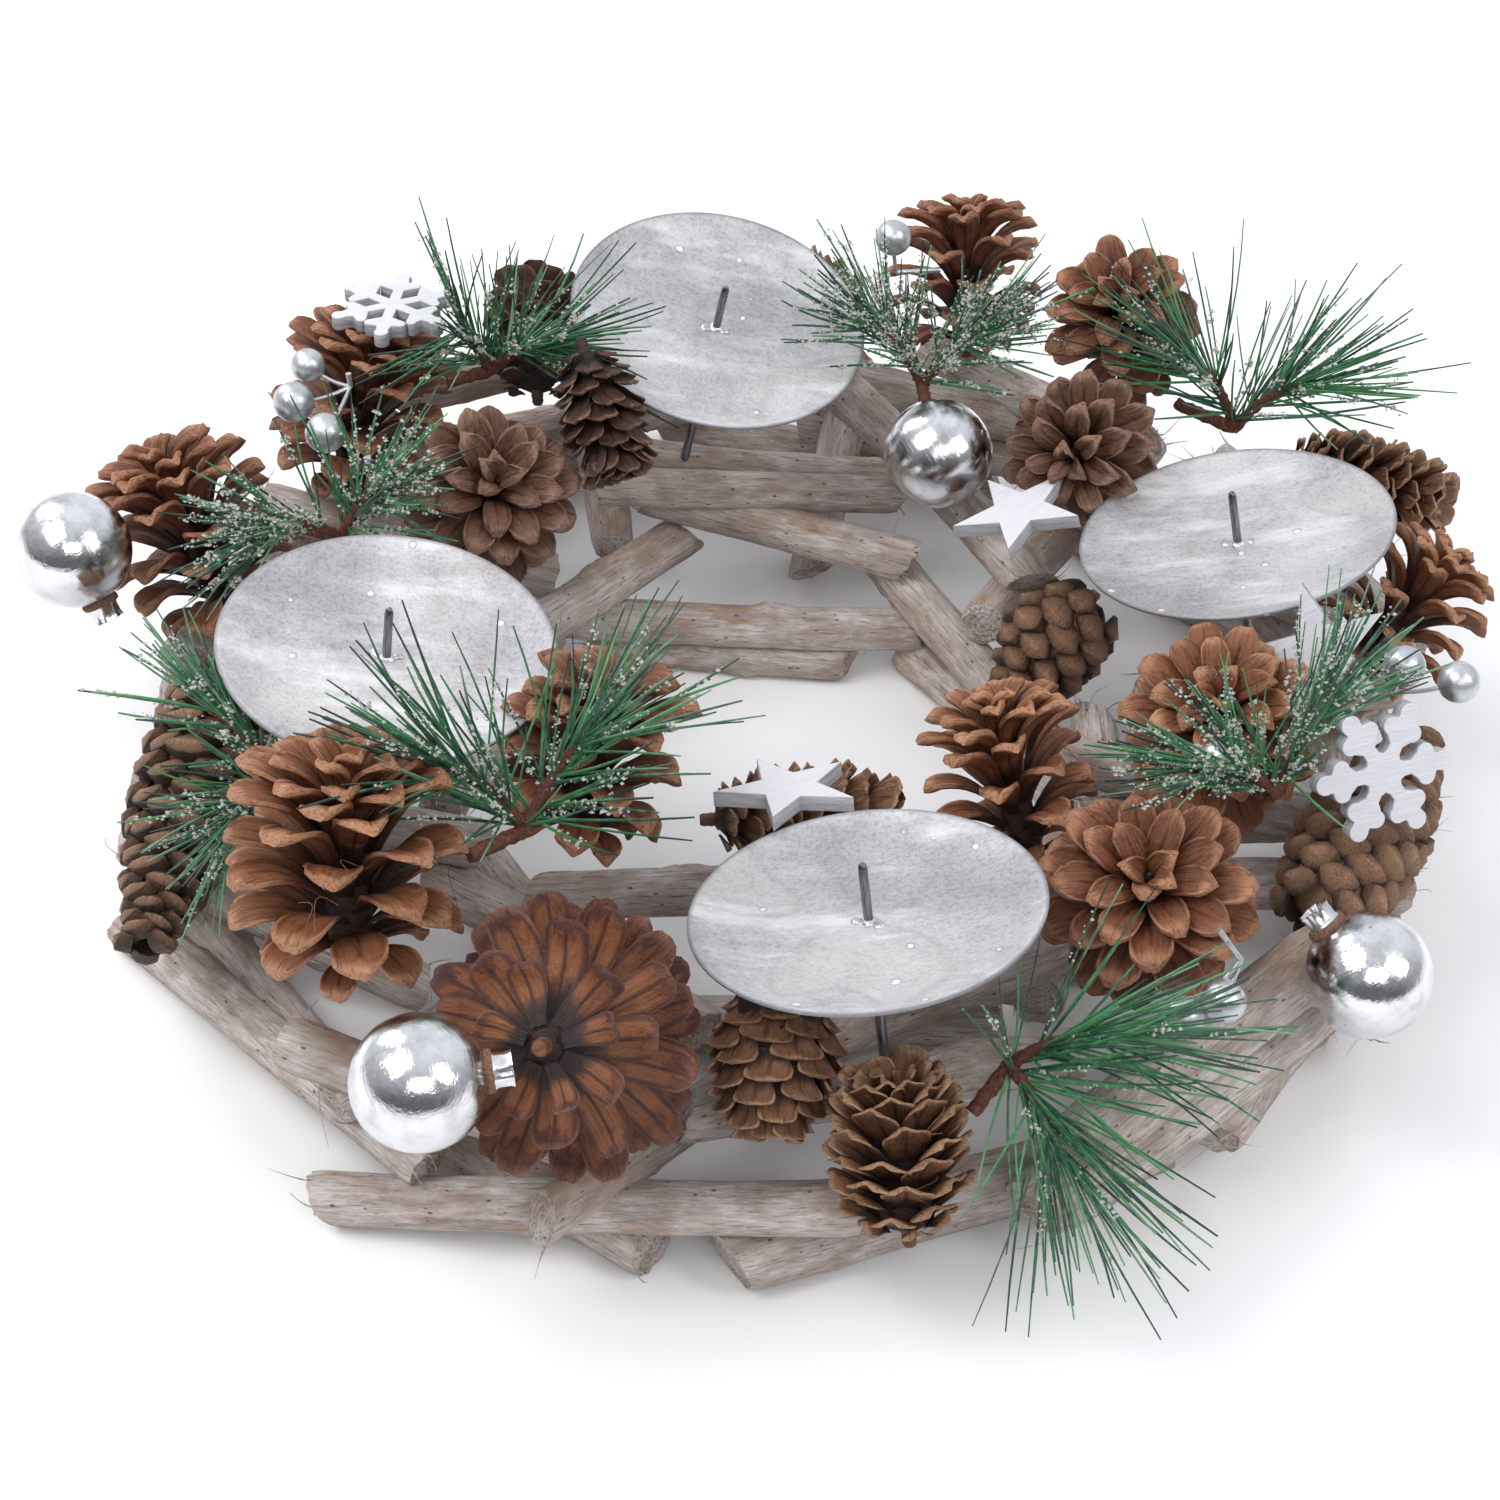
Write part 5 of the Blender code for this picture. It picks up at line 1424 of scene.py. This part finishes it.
def add_needle(build, line, draw):
    """A needle that thins to its tip. Its marks hold its tone, the place along it and its kind of tip."""
    girth = NEEDLE_RADIUS * draw.uniform(0.75, 1.1)
    widths = [girth * (1 - 0.45 * (i / NEEDLE_STEPS) ** 4) for i in range(NEEDLE_STEPS + 1)]
    points, faces = tube(line, widths, 4)
    marks = np.empty((len(points), 3))
    marks[:, 0] = draw.random()
    marks[:, 1] = np.repeat(np.arange(NEEDLE_STEPS + 1) / NEEDLE_STEPS, 4)
    marks[:, 2] = draw.random()
    build.add(points, faces, points, marks)


def dress_sprigs(needle, twig, snow, solids):
    flakes = [sum(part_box(row[0]), Vector()) / 2 for row in SNOWFLAKES]
    for number, (name, fork, tips, reach, snowy) in enumerate(SPRIGS):
        draw = random.Random(SPRIG_SEED + number)
        fork = Vector(fork) * MM + SHIFT
        trees = solids.without(name)
        build = Build()
        foot = nearest_point(fork, trees)
        stem = [foot.lerp(fork, step / STEM_STEPS) for step in range(STEM_STEPS + 1)]
        add_twig(build, stem, [TWIG_RADIUS * 1.1] * len(stem))
        crumbs = [snow_grain(draw) for _ in range(CRUMB_SHAPES)]
        for tip in tips:
            path = twig_path(fork, Vector(tip) * MM + SHIFT)
            radii = [TWIG_RADIUS * (1.05 - 0.5 * step / TWIG_STEPS) for step in range(TWIG_STEPS + 1)]
            add_twig(build, path, radii)
            for _ in range(NEEDLES_PER_TWIG // 2):
                share = draw.uniform(0.04, 1.0)
                leg = min(int(share * TWIG_STEPS), TWIG_STEPS - 1)
                root = path[leg].lerp(path[leg + 1], share * TWIG_STEPS - leg)
                along = (path[leg + 1] - path[leg]).normalized()
                side = along.orthogonal().normalized()
                side.rotate(Quaternion(along, draw.uniform(0, 2 * math.pi)))
                tuft = draw.uniform(*NEEDLE_OPENING) * (1.15 - 0.55 * share)
                for _ in range(2):
                    line = grow_needle(root, along, side, tuft, reach, trees, flakes, draw)
                    if line is None:
                        continue
                    add_needle(build, line, draw)
                    if draw.random() < snowy * 0.8:
                        add_snow(build, line, crumbs, snowy, draw)
        build.finish(name + "_needles", [needle, twig, snow], name, "needle_green")


# Floor, light and camera

def add_stage():
    mesh = bpy.data.meshes.new("floor")
    corners = [(x * FLOOR_REACH, y * FLOOR_REACH, 0) for x, y in ((-1, -1), (1, -1), (1, 1), (-1, 1))]
    mesh.from_pydata(corners, [], [(0, 1, 2, 3)])
    floor = linked("floor", mesh)
    paint = Paint("studio_floor", Roughness=0.9)
    paint.surface.inputs["Base Color"].default_value = (0.90, 0.90, 0.905, 1)
    mesh.materials.append(paint.material)


def add_world():
    """A dim room, dark on the camera's side and brighter behind the object and overhead."""
    world = bpy.data.worlds.new("studio")
    world.use_nodes = True
    nodes = world.node_tree.nodes
    links = world.node_tree.links
    direction = nodes.new("ShaderNodeTexCoord").outputs["Generated"]
    split = nodes.new("ShaderNodeSeparateXYZ")
    links.new(direction, split.inputs[0])
    lift = nodes.new("ShaderNodeMath")
    lift.operation = "MULTIPLY_ADD"
    links.new(split.outputs["Y"], lift.inputs[0])
    lift.inputs[1].default_value = 0.9
    links.new(split.outputs["Z"], lift.inputs[2])
    ramp = nodes.new("ShaderNodeMapRange")
    links.new(lift.outputs[0], ramp.inputs["Value"])
    for key, value in (("From Min", -0.5), ("From Max", 1.3), ("To Min", 0.16), ("To Max", 1.06)):
        ramp.inputs[key].default_value = value
    background = nodes["Background"]
    background.inputs["Color"].default_value = (0.92, 0.95, 1.0, 1)
    links.new(ramp.outputs["Result"], background.inputs["Strength"])
    bpy.context.scene.world = world


def add_light(name, place, aim, size, power):
    light = bpy.data.lights.new(name, "AREA")
    light.shape = "RECTANGLE"
    light.size, light.size_y = size
    light.energy = power
    obj = linked(name, light)
    obj.location = place
    obj.rotation_euler = (Vector(aim) - Vector(place)).to_track_quat("-Z", "Y").to_euler()


def add_camera():
    data = bpy.data.cameras.new("photo")
    camera = linked("photo", data)
    forward = -TO_CAMERA
    right = Vector((1, 0, 0))
    top = right.cross(forward)
    rolled = right * math.cos(CAMERA_ROLL) + top * math.sin(CAMERA_ROLL)
    rolled_top = top * math.cos(CAMERA_ROLL) - right * math.sin(CAMERA_ROLL)
    turn = Matrix((rolled, rolled_top, -forward)).transposed().to_4x4()
    turn.translation = CAMERA_AIM + SHIFT - forward * CAMERA_DISTANCE
    camera.matrix_world = turn
    data.sensor_width = SENSOR_WIDTH
    data.lens = CAMERA_LENS
    data.clip_start = 0.01
    data.clip_end = 20
    bpy.context.scene.camera = camera


def main():
    plain = {name: plain_material(name, **row) for name, row in PLAIN.items()}
    dress_sticks(wood_material(), end_grain_material())
    dress_cones({tint: scale_material(tint) for tint in TINTS})
    dress_plates(zinc_material(), plain["spike_steel"], plain["weld_bead"])
    dress_baubles(mirror_material(), plain["crimped_cap"], plain["brown_cord"])
    solids = Solids()
    dress_berries(plain["pearl_bead"], solids)
    dress_cutouts(white_paint_material())
    dress_sprigs(needle_material(), plain["sprig_twig"], plain["snow_grains"], solids)
    add_stage()
    add_world()
    for lamp in LAMPS:
        add_light(*lamp)
    bpy.context.scene.view_settings.view_transform = "Standard"
    add_camera()


main()
